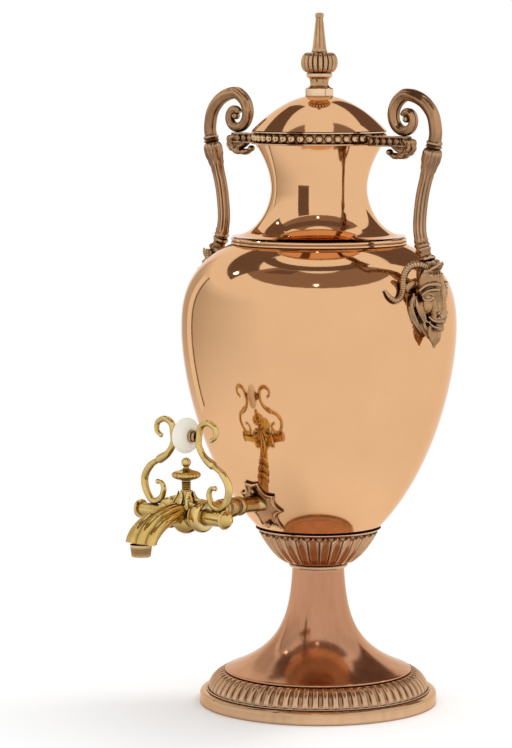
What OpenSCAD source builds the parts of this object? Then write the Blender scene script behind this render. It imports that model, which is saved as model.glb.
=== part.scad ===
// Copper tea urn with ram head handles and a lyre lever tap.
// Z is up, the origin is the centre of the base on the table, the tap points to -Y, the handles to X.

/* [Base and foot] */
// Radius of the plain band that the urn stands on
base_r = 97.2; // [88:0.1:110]
// Height of the plain band
base_h = 10.5; // [7:0.1:14]
// Wall of the plain band
base_wall = 2.4; // [1.5:0.1:4]
// Rounding of the band's top edge
base_edge = 3.2; // [1:0.1:4]
// Width of the flat ledge on top of the band, outside the gadroons
base_ledge = 6.3; // [4.5:0.1:11]
// Number of gadroons round the foot
gadroon_count = 68; // [48:1:72]
// Radial run of the gadrooned ring
gadroon_run = 14.4; // [9:0.1:18]
// Height of the gadrooned ring
gadroon_h = 15.4; // [9:0.1:18]
// Depth of the grooves between gadroons
gadroon_depth = 1.8; // [0.8:0.1:2.4]
// Height of the stem's top above the table
foot_h = 111.6; // [96:0.1:124]
// Radius of the stem at its top
stem_r = 21.2; // [18:0.1:27]
// Wall of the foot
foot_wall = 1.8; // [1.2:0.1:2.6]
// Height over which the trumpet of the foot narrows to a third
foot_flare = 21.2; // [16:0.1:27]

/* [Calyx and bowl] */
// Height of the half-round collar between the stem and the calyx
collar_h = 4.1; // [3:0.1:8]
// How far the collar stands out from the stem
collar_out = 3; // [1:0.1:5]
// Height of the fluted calyx cup
calyx_h = 28.7; // [24:0.1:34]
// Number of lobes round the calyx
calyx_lobes = 30; // [20:1:32]
// Depth of the grooves between the lobes
calyx_depth = 1.5; // [0.6:0.1:1.8]
// Thickness of the calyx floor that carries the bowl
calyx_floor = 5.5; // [4.5:0.1:8]
// Wall of the bowl
bowl_wall = 1.5; // [1:0.1:2.2]
// Largest radius of the bowl
belly_r = 112; // [104:0.1:120]
// Height from the bowl's bottom to its largest radius
bowl_drop = 185.7; // [170:0.1:200]
// Height from the largest radius to the bowl's mouth
shoulder_rise = 69.2; // [60:0.1:78]

/* [Neck and rim] */
// Height of the two thin lips at the shoulder
shoulder_ring_h = 4.8; // [4:0.1:8]
// Smallest radius of the neck
neck_r = 38.9; // [34:0.1:43]
// Height from the shoulder mouldings to the neck's waist
waist_rise = 40; // [32:0.1:46]
// Height from the neck's waist to its top
neck_flare_h = 35.5; // [28:0.1:41]
// How far the neck opens from its waist to its top
neck_flare = 12.6; // [9:0.1:15]
// Wall of the neck
neck_wall = 1.4; // [1:0.1:2]
// Height of the beaded rim
rim_h = 10.8; // [9:0.1:14]
// Number of places for beads round the rim
rim_beads = 44; // [36:2:46]
// Radius of one rim bead
rim_bead_r = 3.3; // [2.6:0.1:3.6]
// Radius of the rim's opening
rim_bore_r = 49.2; // [47:0.1:50]

/* [Lid and finial] */
// Rise of the dome of the lid
lid_rise = 28.4; // [22:0.1:34]
// Wall of the lid
lid_wall = 1.3; // [0.9:0.1:1.8]
// Depth of the sleeve under the lid
sleeve_h = 10.5; // [7:0.1:14]
// Radius of the finial's block on the dome
finial_r = 11.3; // [9:0.1:14]
// Height of the finial's base
finial_base_h = 19; // [16:0.1:22]
// Radius of the gadrooned ball
ball_r = 14.9; // [12:0.1:17]
// Height of the gadrooned ball
ball_h = 16; // [13:0.1:19]
// Height of the fluted spire
spire_h = 32; // [24:0.1:40]
// Radius of the finial's threaded stud
stud_r = 2; // [1.5:0.1:2.5]

/* [Handles] */
// Largest distance of a handle's centre line from the urn's axis
handle_reach = 120.4; // [114:0.1:126]
// Distance of the handle's narrowest part from the urn's axis
handle_waist = 104.9; // [98:0.1:110]
// Radius of the reeded tube of the handle
handle_tube_r = 5.2; // [4:0.1:6]
// Distance of the volute's eye from the urn's axis
volute_x = 91; // [87:0.1:95]
// Height of the volute's eye above the top of the rim
volute_rise = 10.6; // [9:0.1:13]
// Radius of the volute where the handle enters it
volute_r = 19; // [16:0.1:21]
// Radius at which the volute's inner coil runs
volute_coil_r = 5.2; // [4:0.1:6.5]
// Length of the turned foot of a handle
handle_foot_h = 11.5; // [9:0.1:14]
// Distance of the handle foot's lower end from the urn's axis
head_top_x = 112.5; // [108:0.1:116]
// Height of the head's top above the bowl's largest radius
head_top_rise = 60; // [54:0.1:66]

/* [Tap] */
// Height of the tap's axis above the bowl's bottom
tap_rise = 50.7; // [46:0.1:58]
// Distance of the barrel's axis from the urn's axis
tap_reach = 157; // [148:0.1:168]
// Outer radius of the barrel
barrel_r = 10.9; // [9:0.1:12]
// Half of the barrel's length
barrel_half = 21.6; // [17:0.1:23]
// Height of the boss above the tap's axis
boss_h = 18.6; // [16:0.1:22]
// Depth of the tap's round belly below its axis
belly_drop = 14.9; // [12:0.1:17]
// Length of the tail between the shank and the barrel's axis
tail_len = 41; // [34:0.1:46]
// Radius of the plug inside the barrel
plug_r = 6.6; // [6:0.1:7]
// Radius of the water way
water_r = 3.5; // [2.5:0.1:4]
// Radius of the crossbar, halfway between its thin end and its thick one
crossbar_r = 5.7; // [4.6:0.1:6]
// Length of the crossbar's right arm, without its knob
crossbar_right = 39.8; // [37:0.1:50]
// Length of the crossbar's left arm, without its flange
crossbar_left = 47.8; // [42:0.1:54]
// Distance of the spout's outlet from the urn's axis
spout_reach = 207.5; // [200:0.1:214]
// Drop from the tap's axis to the spout's lip
spout_drop = 17.5; // [14:0.1:22]
// Half width of the spout at its lip
spout_w = 13.6; // [11:0.1:16]
// Length of the nozzle below the lip
nozzle_h = 9.4; // [6:0.1:14]
// Radius of the nozzle's bore
nozzle_bore_r = 5.6; // [4.5:0.1:6]
// Height of the grip bead's centre above the tap's axis
grip_rise = 62; // [60:0.1:70]
// Radius of the grip bead
grip_r = 14; // [11:0.1:14.4]
// Thickness of the grip bead
grip_w = 12; // [9:0.1:14]
// Sideways reach of a lyre arm from its strand beside the bead
lyre_reach = 31.1; // [26:0.1:34]
// Radius of the lyre arms at their thickest
lyre_r = 2.6; // [2:0.1:3.2]
// Radius of the tension screw's stem
screw_r = 3.8; // [2.8:0.1:4]
// Radius of the tension screw's mushroom head
mushroom_r = 11.4; // [8:0.1:13]
// Half width of the escutcheon plate across its middle points
plate_half_w = 19.5; // [15:0.1:22]
// Half height of the escutcheon plate
plate_half_h = 20; // [17:0.1:21]
// Thickness of the escutcheon plate
plate_t = 2; // [1.2:0.1:3]

/* [Heater] */
// Outer radius of the heater well
well_r = 19; // [16:0.1:24]
// Room between the slug's eye and the well's cover
well_room = 12.3; // [6:0.1:20]
// Wall of the heater well
well_wall = 1.4; // [1:0.1:2]
// Gap all round between the heating slug and the well
slug_gap = 2.1; // [1.2:0.1:3]
// Length of the heating slug
slug_h = 172; // [120:0.1:184]

/* [Fits] */
// Gap between pieces of different bodies that do not slide on each other
free_gap = 0.3; // [0.2:0.05:0.5]
// Gap between pieces that are fixed together
seat_gap = 0.1; // [0.05:0.01:0.2]
// Radial gap of a shaft that turns in its hole
run_gap = 0.06; // [0.02:0.01:0.1]

/* [Hidden] */

round_fn = 96;
small_fn = 48;
copper = [0.83, 0.52, 0.35];
bronze = [0.52, 0.38, 0.24];
brass = [0.80, 0.66, 0.34];
bone = [0.93, 0.91, 0.84];
iron = [0.25, 0.25, 0.26];
leather_brown = [0.42, 0.28, 0.17];

// Heights of the joints between the pieces, from the table up
gadroon_z = base_h + seat_gap;
disc_z = gadroon_z + gadroon_h + seat_gap;
collar_z = foot_h + seat_gap;
calyx_z = collar_z + collar_h + seat_gap;
bowl_z = calyx_z + calyx_floor;
belly_z = bowl_z + bowl_drop;
mouth_z = belly_z + shoulder_rise;
neck_z = mouth_z + shoulder_ring_h + 2 * seat_gap;
waist_z = neck_z + waist_rise;
rim_z = waist_z + neck_flare_h + seat_gap;
rim_top = rim_z + rim_h;
lid_z = rim_top + free_gap;
tap_z = bowl_z + tap_rise;

// Radii that follow from the driving ones
gadroon_r = base_r - base_ledge;
disc_r = gadroon_r - gadroon_run;
collar_r = stem_r + collar_out;
bead_ring_r = neck_r + neck_flare + 0.6;
lid_r = bead_ring_r + 2.2;
sleeve_r = rim_bore_r - 2 * free_gap;

// The bowl below its largest radius and above it: a superellipse each
bowl_p = 1.705;
bowl_q = 1.85;
bowl_cut = 0.9878;
shoulder_p = 2.6;
shoulder_q = 2.5;
shoulder_cut = 0.865;
function bowl_r(z) = z < belly_z
    ? belly_r * pow(1 - pow((belly_z - z) / bowl_drop * bowl_cut, bowl_p), 1 / bowl_q)
    : belly_r * pow(1 - pow((z - belly_z) / shoulder_rise * shoulder_cut, shoulder_p), 1 / shoulder_q);
function bowl_low(n = 22) = concat([[0, bowl_z]],
    [for (k = [0:n]) let (z = belly_z - bowl_drop * pow(cos(90 * k / n), 0.9)) [bowl_r(z), z]]);
function bowl_high(start = 0, n = 14) =
    [for (k = [0:n]) let (z = belly_z + max(start, shoulder_rise * sin(90 * k / n))) [bowl_r(z), z]];
function bowl_outline() = concat(bowl_low(), bowl_high(start = 1));
mouth_r = bowl_r(mouth_z);
shoulder_ring_r = mouth_r + 0.8;
neck_base_r = shoulder_ring_r - 1;
// Angle by which the bowl's wall leans out at a height
function bowl_lean(z) = atan2(bowl_r(z + 0.5) - bowl_r(z - 0.5), 1);

// An outline moved along its own normals, to the left of its direction
function shift_outline(p, d) = [for (i = [0:len(p) - 1])
    let (t = p[min(i + 1, len(p) - 1)] - p[max(i - 1, 0)])
    p[i] + d * [-t[1], t[0]] / norm(t)];
function reversed(p) = [for (i = [len(p) - 1:-1:0]) p[i]];
// The section of a shell: an outline and its inner face, which ends no higher than the outline
function skin_outline(p, wall) = let (top = max([for (q = p) q[1]]))
    concat(p, reversed([for (q = shift_outline(p, wall)) [q[0], min(q[1], top)]]));
// Points of an arc round c from angle a to angle b
function arc(c, r, a, b, n = 6) = [for (k = [0:n]) let (t = a + (b - a) * k / n) c + r * [cos(t), sin(t)]];

// A smooth curve through points, with n steps between two of them
function spline_at(a, b, c, d, t) = 0.5 * (2 * b + (c - a) * t + (2 * a - 5 * b + 4 * c - d) * t * t
    + (3 * b - a - 3 * c + d) * t * t * t);
function spline(p, n) = let (m = len(p) - 1) concat(
    [for (i = [0:m - 1]) for (k = [0:n - 1])
        spline_at(p[max(i - 1, 0)], p[i], p[i + 1], p[min(i + 2, m)], k / n)],
    [p[m]]);

// Rings of points joined to a closed skin, with flat ends or closed on itself
module skin(rings, looped = false) {
    n = len(rings);
    m = len(rings[0]);
    last = looped ? n - 1 : n - 2;
    sides = [for (i = [0:last]) for (j = [0:m - 1])
        let (i2 = (i + 1) % n, j2 = (j + 1) % m, a = i * m + j, b = i * m + j2, c = i2 * m + j, d = i2 * m + j2)
        each [[a, d, b], [a, c, d]]];
    caps = looped ? [] : [[for (j = [0:m - 1]) j], [for (j = [m - 1:-1:0]) (n - 1) * m + j]];
    polyhedron([for (r = rings) each r], concat(sides, caps));
}

// A round or oval bar along a path: size is [width across the bend's plane, width in it] per ring.
// Reeding cuts the given number of grooves, as deep as a share of the radius.
function bar_rings(path, size, across, sides, reed, lobes) = [for (i = [0:len(path) - 1])
    let (t = path[min(i + 1, len(path) - 1)] - path[max(i - 1, 0)], u = t / norm(t),
         n0 = cross(u, across), n = n0 / norm(n0), b = cross(n, u))
    [for (j = [0:sides - 1]) let (f = 360 * j / sides, k = 1 - reed * (1 - lobe(j * lobes / sides)))
        path[i] + k * (b * size[i][0] * cos(f) + n * size[i][1] * sin(f))]];
module bar(path, size, across, sides, reed = 0, lobes = 0)
    skin(bar_rings(path, size, across, sides, reed, lobes == 0 ? sides / 2 : lobes));
function round_sizes(radii) = [for (r = radii) [r, r]];

// A shape turned round Z whose radius swells in lobes: each ring is [radius, height, groove depth]
function lobe(f) = pow(abs(sin(180 * f)), 0.6);
function lobed_rings(outline, lobes, per) = [for (p = outline) [for (j = [0:lobes * per - 1])
    let (a = 360 * (j + 0.5) / (lobes * per), r = p[0] - p[2] * (1 - lobe((j + 0.5) / per)))
    [r * cos(a), r * sin(a), p[1]]]];

module turned(outline) rotate_extrude($fn = round_fn) polygon(outline);
module turned_small(outline) rotate_extrude($fn = small_fn) polygon(outline);
// A thing drawn along Z, laid along X or along -Y at the tap's height
module along_x(y, z) translate([0, y, z]) rotate([0, 90, 0]) children();
module along_tap() translate([0, 0, tap_z]) rotate([90, 0, 0]) children();
module mirrored(side) if (side > 0) children(); else mirror([1, 0, 0]) children();
// The room inside the bowl's outer face, grown by a gap
module bowl_room(gap) turned(concat(shift_outline(bowl_outline(), -gap), [[0, mouth_z]]));

// Foot
module base_ring() color(copper) turned(concat([[base_r, 0]],
    arc([base_r - base_edge, base_h - base_edge], base_edge, 0, 90),
    [[disc_r + 4, base_h], [disc_r + 4, base_h - base_wall], [base_r - base_wall, base_h - base_wall],
     [base_r - base_wall, 0]]));

module gadroon_ring() color(bronze) {
    run = gadroon_r - disc_r;
    per = 3;
    rings = [for (j = [0:gadroon_count * per - 1])
        let (a = 360 * j / (gadroon_count * per), g = gadroon_depth * (1 - lobe((j % per + 0.5) / per)))
        [for (p = [[disc_r + 4.5, 0], [disc_r - 3, 1], [disc_r + 0.4, 1], [gadroon_r - 0.3 * run - g, 0.62],
                   [gadroon_r - 0.4 * g, 0]])
            [p[0] * cos(a), p[0] * sin(a), gadroon_z + p[1] * gadroon_h]]];
    skin(rings, looped = true);
}

// The trumpet starts above the disc's edge and narrows by an exponential curve
trumpet_z = disc_z + 1.6;
function foot_r(z) = let (e = exp((trumpet_z - z) / foot_flare), e1 = exp((trumpet_z - foot_h) / foot_flare))
    stem_r + (disc_r - stem_r) * (e - e1) / (1 - e1);
function foot_outline(n = 22) = concat([[disc_r - 0.6, disc_z], [disc_r, disc_z + 0.5], [disc_r, disc_z + 1.2]],
    [for (k = [1:n]) let (z = trumpet_z + (foot_h - trumpet_z) * pow(k / n, 1.7)) [foot_r(z), z]]);
module foot() color(copper) turned(concat(foot_outline(),
    reversed(shift_outline([for (k = [3:len(foot_outline()) - 1]) foot_outline()[k]], foot_wall)),
    [[disc_r - 4, disc_z]]));

module stem_collar() color(bronze) turned(concat([[stem_r - foot_wall - 4, collar_z]],
    arc([collar_r - collar_h / 2, collar_z + collar_h / 2], collar_h / 2, -90, 90, 8),
    [[stem_r - foot_wall - 4, collar_z + collar_h]]));

// Calyx: a cup of lobes round the bottom of the bowl
calyx_rim_z = calyx_z + calyx_h;
calyx_rim_r = bowl_r(calyx_rim_z) + seat_gap + 1.6;
function calyx_r(s) = collar_r + 1.3 + (calyx_rim_r - collar_r - 1.3) * pow(s, 0.62);
calyx_lip = 0.9;
pad_r = 13;
module calyx_cup() color(copper) difference() {
    skin(lobed_rings(concat(
        [for (s = [0, 0.12, 0.3, 0.55, 0.78, 0.89]) [calyx_r(s), calyx_z + s * calyx_h, calyx_depth]],
        [[calyx_r(0.92) - 0.6, calyx_z + 0.92 * calyx_h, 0], [calyx_r(0.95), calyx_z + 0.95 * calyx_h, 0],
         [calyx_rim_r + calyx_lip, calyx_rim_z, 0]]), calyx_lobes, 4));
    turned(concat([[0, bowl_z - seat_gap], [pad_r, bowl_z - seat_gap], [pad_r, calyx_z + 2.5]],
        [for (s = [0.12:0.11:0.89]) let (z = calyx_z + s * calyx_h + 0.6)
            [max(calyx_r(s) - calyx_depth - 1.2, bowl_r(max(z, bowl_z)) + seat_gap), z]],
        [[bowl_r(calyx_rim_z) + seat_gap, calyx_rim_z - 1], [bowl_r(calyx_rim_z) + seat_gap, calyx_rim_z + 1],
         [0, calyx_rim_z + 1]]));
}

// Body: raised in two halves that meet at the largest radius
module bowl_shell() color(copper) difference() {
    turned(skin_outline(bowl_low(), bowl_wall));
    along_tap() cylinder(h = belly_r, r = shank_r + seat_gap, $fn = small_fn);
    rivet_places() cylinder(h = 10 * bowl_wall, r = rivet_r + seat_gap, center = true, $fn = 24);
}
module shoulder_shell() color(copper) difference() {
    turned(skin_outline(bowl_high(start = seat_gap), bowl_wall));
    head_screw_places() cylinder(h = 20 * bowl_wall, r = head_screw_r + seat_gap, center = true, $fn = 24);
}

module shoulder_ring() color(copper) turned(concat(
    [[shoulder_ring_r - 8, mouth_z + seat_gap]],
    [for (p = [[0.4, 0.02], [0, 0.1], [0, 0.32], [0.4, 0.4], [1.6, 0.44], [1.6, 0.56], [0.5, 0.6], [0.1, 0.68],
        [0.1, 0.9], [0.5, 1]]) [shoulder_ring_r - p[0], mouth_z + seat_gap + p[1] * shoulder_ring_h]],
    [[shoulder_ring_r - 8, mouth_z + shoulder_ring_h + seat_gap]]));

// Neck: a quarter superellipse flares down, a power curve opens up
neck_p = 1.8;
neck_spread = neck_base_r - neck_r;
neck_drop = waist_rise - neck_wall - seat_gap;
function neck_outline(low_n = 14, high_n = 10) = concat(
    [for (k = [low_n:-1:1]) let (s = sin(90 * k / low_n))
        [neck_r + neck_spread * (1 - sqrt(1 - pow(s, neck_p))), waist_z - neck_drop * s]],
    [for (k = [0:high_n]) let (s = k / high_n)
        [neck_r + neck_flare * pow(s, neck_p), waist_z + neck_flare_h * s]]);
module neck_shell() color(copper) turned(skin_outline(neck_outline(), neck_wall));

rim_lip = 2.6;
module beaded_rim() color(brass) {
    lip_r = bead_ring_r + rim_lip;
    turned([[rim_bore_r, rim_z], [lip_r, rim_z], [lip_r, rim_z + 1.2], [bead_ring_r, rim_z + 2.2],
        [bead_ring_r, rim_top - 2.4], [lip_r, rim_top - 1.6], [lip_r, rim_top], [rim_bore_r, rim_top]]);
    for (k = [0:rim_beads - 1]) if (k % (rim_beads / 2) != 0)
        rotate([0, 0, 360 * k / rim_beads]) translate([bead_ring_r + 0.4, 0, rim_z + rim_h / 2 - 0.1])
            sphere(r = rim_bead_r, $fn = 20);
}

// Lid: a paraboloid dome with a sleeve
function lid_height(r) = lid_z + lid_rise * (1 - pow(r / lid_r, 2));
function lid_outline(n = 20) = [for (k = [0:n]) let (r = lid_r * (1 - k / n)) [r, lid_height(r)]];
module lid_dome() color(copper) difference() {
    turned(concat([[lid_r - 0.3, lid_z]], lid_outline(), [[0, lid_height(0) - lid_wall]],
        [for (k = [1:18]) let (r = lid_r * k / 20) [r, lid_height(r) - lid_wall]], [[lid_r - 3, lid_z]]));
    cylinder(h = lid_z * 2, r = stud_r + seat_gap, $fn = 24);
}
sleeve_wall = 1.2;
sleeve_top = lid_height(sleeve_r) - lid_wall - seat_gap;
module lid_sleeve() color(copper) turned([[sleeve_r, lid_z - sleeve_h], [sleeve_r, sleeve_top],
    [sleeve_r - sleeve_wall, sleeve_top], [sleeve_r - sleeve_wall, lid_z - sleeve_h]]);

// Finial
finial_z = lid_height(0);
ball_z = finial_z + finial_base_h - 1;
spire_z = ball_z + ball_h;
module finial_base() color(brass) turned_small(concat(
    [for (k = [0:8]) let (r = stud_r + seat_gap + (finial_r - stud_r - seat_gap) * k / 8)
        [r, lid_height(r) + seat_gap]],
    [[finial_r, finial_z + 4.9], [0.95 * finial_r, finial_z + 5.6]],
    spline([[0.86 * finial_r, finial_z + 5.6], [0.69 * finial_r, finial_z + 7.4],
        [0.65 * finial_r, finial_z + 9.6], [0.70 * finial_r, finial_z + 12.6]], 3),
    [[0.84 * finial_r, ball_z - 4], [0.92 * finial_r, ball_z - 3.2], [0.92 * finial_r, ball_z - 0.9],
     [0.84 * finial_r, ball_z - seat_gap], [stud_r + seat_gap, ball_z - seat_gap]]));
ball_lobes = 20;
ball_flat_r = 0.64 * ball_r;
ball_groove = 1.5;
module finial_ball() color(brass) difference() {
    skin(lobed_rings([for (a = [-90:30:90])
        [ball_flat_r + (ball_r - ball_flat_r) * cos(a), ball_z + ball_h * (1 + sin(a)) / 2, ball_groove]],
        ball_lobes, 3));
    translate([0, 0, ball_z - 1]) cylinder(h = ball_h + 2, r = stud_r + seat_gap, $fn = 24);
}
spire_flutes = 8;
module finial_spire() color(brass) difference() {
    skin(lobed_rings([for (p = [[0.416, 0, 0.9], [0.205, 0.86, 0.4], [0.222, 0.875, 0], [0.228, 0.96, 0],
        [0.17, 0.99, 0], [0.04, 1, 0]])
        [p[0] * ball_r, spire_z + seat_gap + p[1] * (spire_h - seat_gap), p[2]]], spire_flutes, 4));
    translate([0, 0, spire_z - 1])
        cylinder(h = stud_in_spire + 1 + seat_gap, r = stud_r + seat_gap, $fn = 24);
}
stud_in_spire = 10;
nut_h = 4;
module finial_stud() color(brass) translate([0, 0, finial_z - lid_wall - nut_h - 3])
    cylinder(h = spire_z + stud_in_spire - finial_z + lid_wall + nut_h + 3, r = stud_r, $fn = 32);
module finial_nut() color(brass) translate([0, 0, finial_z - lid_wall - nut_h - 0.4]) difference() {
    cylinder(h = nut_h, r = 2.2 * stud_r, $fn = 6);
    translate([0, 0, -1]) cylinder(h = nut_h + 2, r = stud_r + seat_gap, $fn = 24);
}

// Handles: one side is drawn on +X and mirrored
volute_z = rim_top + volute_rise;
head_top_z = belly_z + head_top_rise;
handle_sway = handle_reach - handle_waist;
// The shaft's sway outwards, as [share of its height, share of the sway]
sway_knots = [[0, 0.2], [0.18, 0], [0.42, 0.14], [0.62, 0.46], [0.8, 0.8], [0.92, 0.97], [1, 1]];
handle_low = [handle_waist + sway_knots[0][1] * handle_sway, head_top_z + 0.86 * handle_foot_h];
volute_fade = 0.0066;
volute_turn = 410;
function volute_at(a) = let (t = a - 90, coil = volute_coil_r * (1 - pow(t / 520, 4)),
        r = (volute_r - volute_coil_r) * exp(-volute_fade * t) + coil)
    [volute_x + r * cos(a), 0, volute_z + r * sin(a)];
// The tube thins towards the volute's eye
function coil_tube_r(a) = handle_tube_r
    * lookup(a, [[90, 1], [180, 0.96], [270, 0.81], [360, 0.73], [450, 0.67], [500, 0.54]]);
arch_z = volute_z - 8;
shaft_h = arch_z - handle_low[1];
function shaft_at(s) = [handle_waist + handle_sway * lookup(s, sway_knots), 0, handle_low[1] + shaft_h * s];
function arch_knots() = [for (a = [25, 50, 72])
    [volute_x + (handle_reach - volute_x) * cos(a), 0, arch_z + (volute_z + volute_r - arch_z) * sin(a)]];
// The leaf sheath swells the tube below the two upper rings
function swell(s) = lookup(s,
    [[0.65, 1], [0.7, 1.15], [0.755, 1.45], [0.81, 1.48], [0.835, 1.38], [0.85, 1]]);
module handle_ring(place, lean) translate(place) rotate([0, lean, 0]) {
    r = 1.26 * handle_tube_r;
    h = 0.29 * handle_tube_r;
    turned_small(concat([[0, -h]], arc([r - h, 0], h, -90, 90), [[0, h]]));
}
module handle(side) color(bronze) mirrored(side) {
    bend = spline(concat([for (k = sway_knots) shaft_at(k[0])], arch_knots(), [volute_at(90)]), 4);
    coil = [115:25:90 + volute_turn];
    foot_way = [-sin(foot_lean), 0, cos(foot_lean)];
    path = concat([bend[0], bend[0] + 1.5 * foot_way], [for (i = [1:len(bend) - 1]) bend[i]],
        [for (a = coil) volute_at(a)]);
    radii = concat([for (i = [-1:len(bend) - 1])
        handle_tube_r * swell((bend[max(i, 0)][2] - handle_low[1]) / shaft_h)], [for (a = coil) coil_tube_r(a)]);
    bar(path, round_sizes(radii), [0, 1, 0], 12, 0.12);
    handle_ring(bend[0] + 2.4 * foot_way, -foot_lean);
    for (s = [0.862, 0.892]) handle_ring(shaft_at(s), 13);
}

// Clasp: a beaded tongue that carries on the rim's section, and a lobed scroll that curls back under it
tongue_h = 8.3;
tongue_w = 6.2;
tongue_beads = 5;
tongue_pitch = 6.6;
clasp_top = volute_at(270)[2] - coil_tube_r(270) - seat_gap;
// The scroll's knobs and necks: [distance from the volute's eye, height over the clasp's top, half thickness]
scroll_knots = [[-3, -2.5, 2], [3.6, -4.6, 2.9], [5.2, -9, 2.5], [2.4, -12.6, 3.1], [-1.2, -14.7, 2.4],
    [-4.4, -15.5, 3], [-8, -15.9, 2.2], [-11.5, -15.6, 2.6], [-15, -14.4, 1.9]];
leaf_knots = [[-13, -7.6, 1.4], [-7, -10.4, 1.9], [-1, -13.4, 1.4]];
module scroll_bar(knots) bar([for (k = spline(knots, 2)) [volute_x + k[0], 0, clasp_top + k[1]]],
    [for (k = spline(knots, 2)) [3.6 + 0.6 * k[2], k[2]]], [0, 1, 0], 10);
module tongue_plate(z, h, w) translate([0, 0, z]) linear_extrude(height = h)
    let (x = bead_ring_r + rim_lip + seat_gap)
    polygon([[x, -0.75 * w], [x + 2, -w], [volute_x - 2, -w], [volute_x + 3.4, -w / 2], [volute_x + 3.4, w / 2],
        [volute_x - 2, w], [x + 2, w], [x, 0.75 * w]]);
module handle_clasp(side) color(bronze) mirrored(side) {
    tongue_plate(clasp_top - tongue_h, tongue_h, tongue_w - 2.4);
    tongue_plate(clasp_top - tongue_h, 1.3, tongue_w);
    tongue_plate(clasp_top - 1.3, 1.3, tongue_w);
    for (k = [0:tongue_beads - 1]) for (m = [-1, 1])
        translate([bead_ring_r + 6.3 + tongue_pitch * k, m * (tongue_w - 2.2), clasp_top - tongue_h / 2])
            sphere(r = 0.9 * rim_bead_r, $fn = 20);
    scroll_bar(scroll_knots);
    scroll_bar(leaf_knots);
    translate([volute_x - 17, 0, clasp_top - 12.7]) sphere(r = 2.6, $fn = 20);
}

// Turned foot of a handle, leaning out to the top of the head
foot_low = [head_top_x, head_top_z];
foot_lean = atan2(foot_low[0] - handle_low[0], handle_low[1] - foot_low[1]);
foot_len = norm(foot_low - handle_low) - seat_gap;
// As shares of the handle's tube radius and of the foot's length
foot_turning = [[1.35, 0], [1.5, 0.12], [1.3, 0.24], [1, 0.36], [0.98, 0.6], [1.15, 0.76], [1.28, 0.88],
    [1.1, 1]];
module handle_foot(side) color(bronze) mirrored(side)
    translate([foot_low[0], 0, foot_low[1]]) rotate([0, -foot_lean, 0])
        turned_small(concat([[0, 0]], [for (p = foot_turning) [p[0] * handle_tube_r, p[1] * foot_len]],
            [[0, foot_len]]));

// Ram head: drawn from the head's top down to the muzzle, cut to the bowl's face.
// Each knot is [distance out from the head's top, sideways, height over the head's top].
function head_at(p, m = 1) = [head_top_x + p[0], m * p[1], head_top_z + p[2]];
head_spine = [[-5, 0, -5.5], [-3, 0, -8], [1.5, 0, -12], [4, 0, -19], [6, 0, -26], [9, 0, -34], [12, 0, -41],
    [13.2, 0, -47], [12.8, 0, -52.5]];
head_sizes = [[6, 4.5], [10, 9], [12.5, 13], [13, 14.5], [11.6, 14], [9.4, 11], [7.8, 8.6], [6.6, 6.8],
    [3.6, 3.6]];
horn_knots = [[4, 5, -4], [1, 11, -2], [-3.5, 15.5, -3], [-6.8, 18.3, -8], [-8, 19.4, -15], [-6.7, 21.6, -22],
    [-5.4, 26.4, -27.6], [-6.6, 31.2, -29.4], [-9.3, 35.2, -26], [-12.8, 37, -20.5]];
horn_radii = [2.5, 2.6, 2.8, 2.7, 2.6, 2.5, 2.4, 2.1, 1.7, 0.8];
ear_knots = [[-2, 11.5, -16], [-3, 15, -17.5], [-4, 17.4, -20.5], [-4.5, 17.8, -24]];
ear_sizes = [[1.6, 2.4], [1.6, 3], [1.4, 2.8], [0.5, 0.8]];
lock_knots = [[-3, 12, -27], [-3, 15.8, -36], [-1.8, 14.6, -45], [-0.5, 10.5, -51], [0.5, 7.5, -56]];
lock_radii = [2, 3.3, 3.3, 2.6, 0.9];
tuft_knots = [[8, 0, -9], [13, 0, -5], [15.5, 0, -1.5], [16.6, 0, 1.2]];
tuft_sizes = [[3.4, 3], [3, 2.6], [2, 1.6], [0.5, 0.5]];
beard_knots = [[7, 0, -40], [8, 0, -49], [8, 0, -59], [7.2, 0, -69]];
beard_sizes = [[6, 5.6], [5.4, 5], [3.4, 3.4], [0.8, 0.9]];
module head_bar(knots, sizes, sides, across = [0, 1, 0], m = 1, reed = 0)
    bar([for (p = spline(knots, 2)) head_at(p, m)], spline(sizes, 2), across, sides, reed);
module ram_head(side) color(bronze) mirrored(side) difference() {
    union() {
        head_bar(head_spine, head_sizes, 14);
        head_bar(beard_knots, beard_sizes, 10, reed = 0.14);
        head_bar(tuft_knots, tuft_sizes, 8);
        for (m = [-1, 1]) {
            head_bar(horn_knots, round_sizes(horn_radii), 8, [1, 0, 0.2], m);
            head_bar(ear_knots, ear_sizes, 6, [1, 0, 0.3], m);
            head_bar(lock_knots, round_sizes(lock_radii), 8, [1, 0, 0.2], m, 0.12);
        }
        translate([head_top_x, 0, head_top_z]) rotate([0, -foot_lean, 0]) translate([0, 0, -8 - seat_gap])
            cylinder(h = 8, r = 1.5 * handle_tube_r, $fn = 24);
    }
    bowl_room(seat_gap);
    head_screw_places()
        cylinder(h = 2 * head_screw_in, r = head_screw_r + seat_gap, center = true, $fn = 24);
}
// Screws from inside the bowl into the back of each head
head_screw_r = 2;
head_screw_in = 8;
head_screw_z = belly_z + head_top_rise - 22;
module head_screw_places() for (s = [-1, 1]) translate([s * bowl_r(head_screw_z), 0, head_screw_z])
    rotate([0, s * (90 - -bowl_lean(head_screw_z)), 0]) children();
module head_screws() color(brass) head_screw_places() {
    translate([0, 0, -bowl_wall - 0.4]) cylinder(h = head_screw_in + bowl_wall, r = head_screw_r, $fn = 24);
    translate([0, 0, -bowl_wall - 2.6]) cylinder(h = 2.2, r = 2 * head_screw_r, $fn = 24);
}

// Tap plate on the bowl: a cartouche whose edges hollow inwards between its points
plate_z = tap_z - 2.6;
rivet_r = 1.6;
sunk_share = 0.78;
sunk_depth = 0.8;
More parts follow.
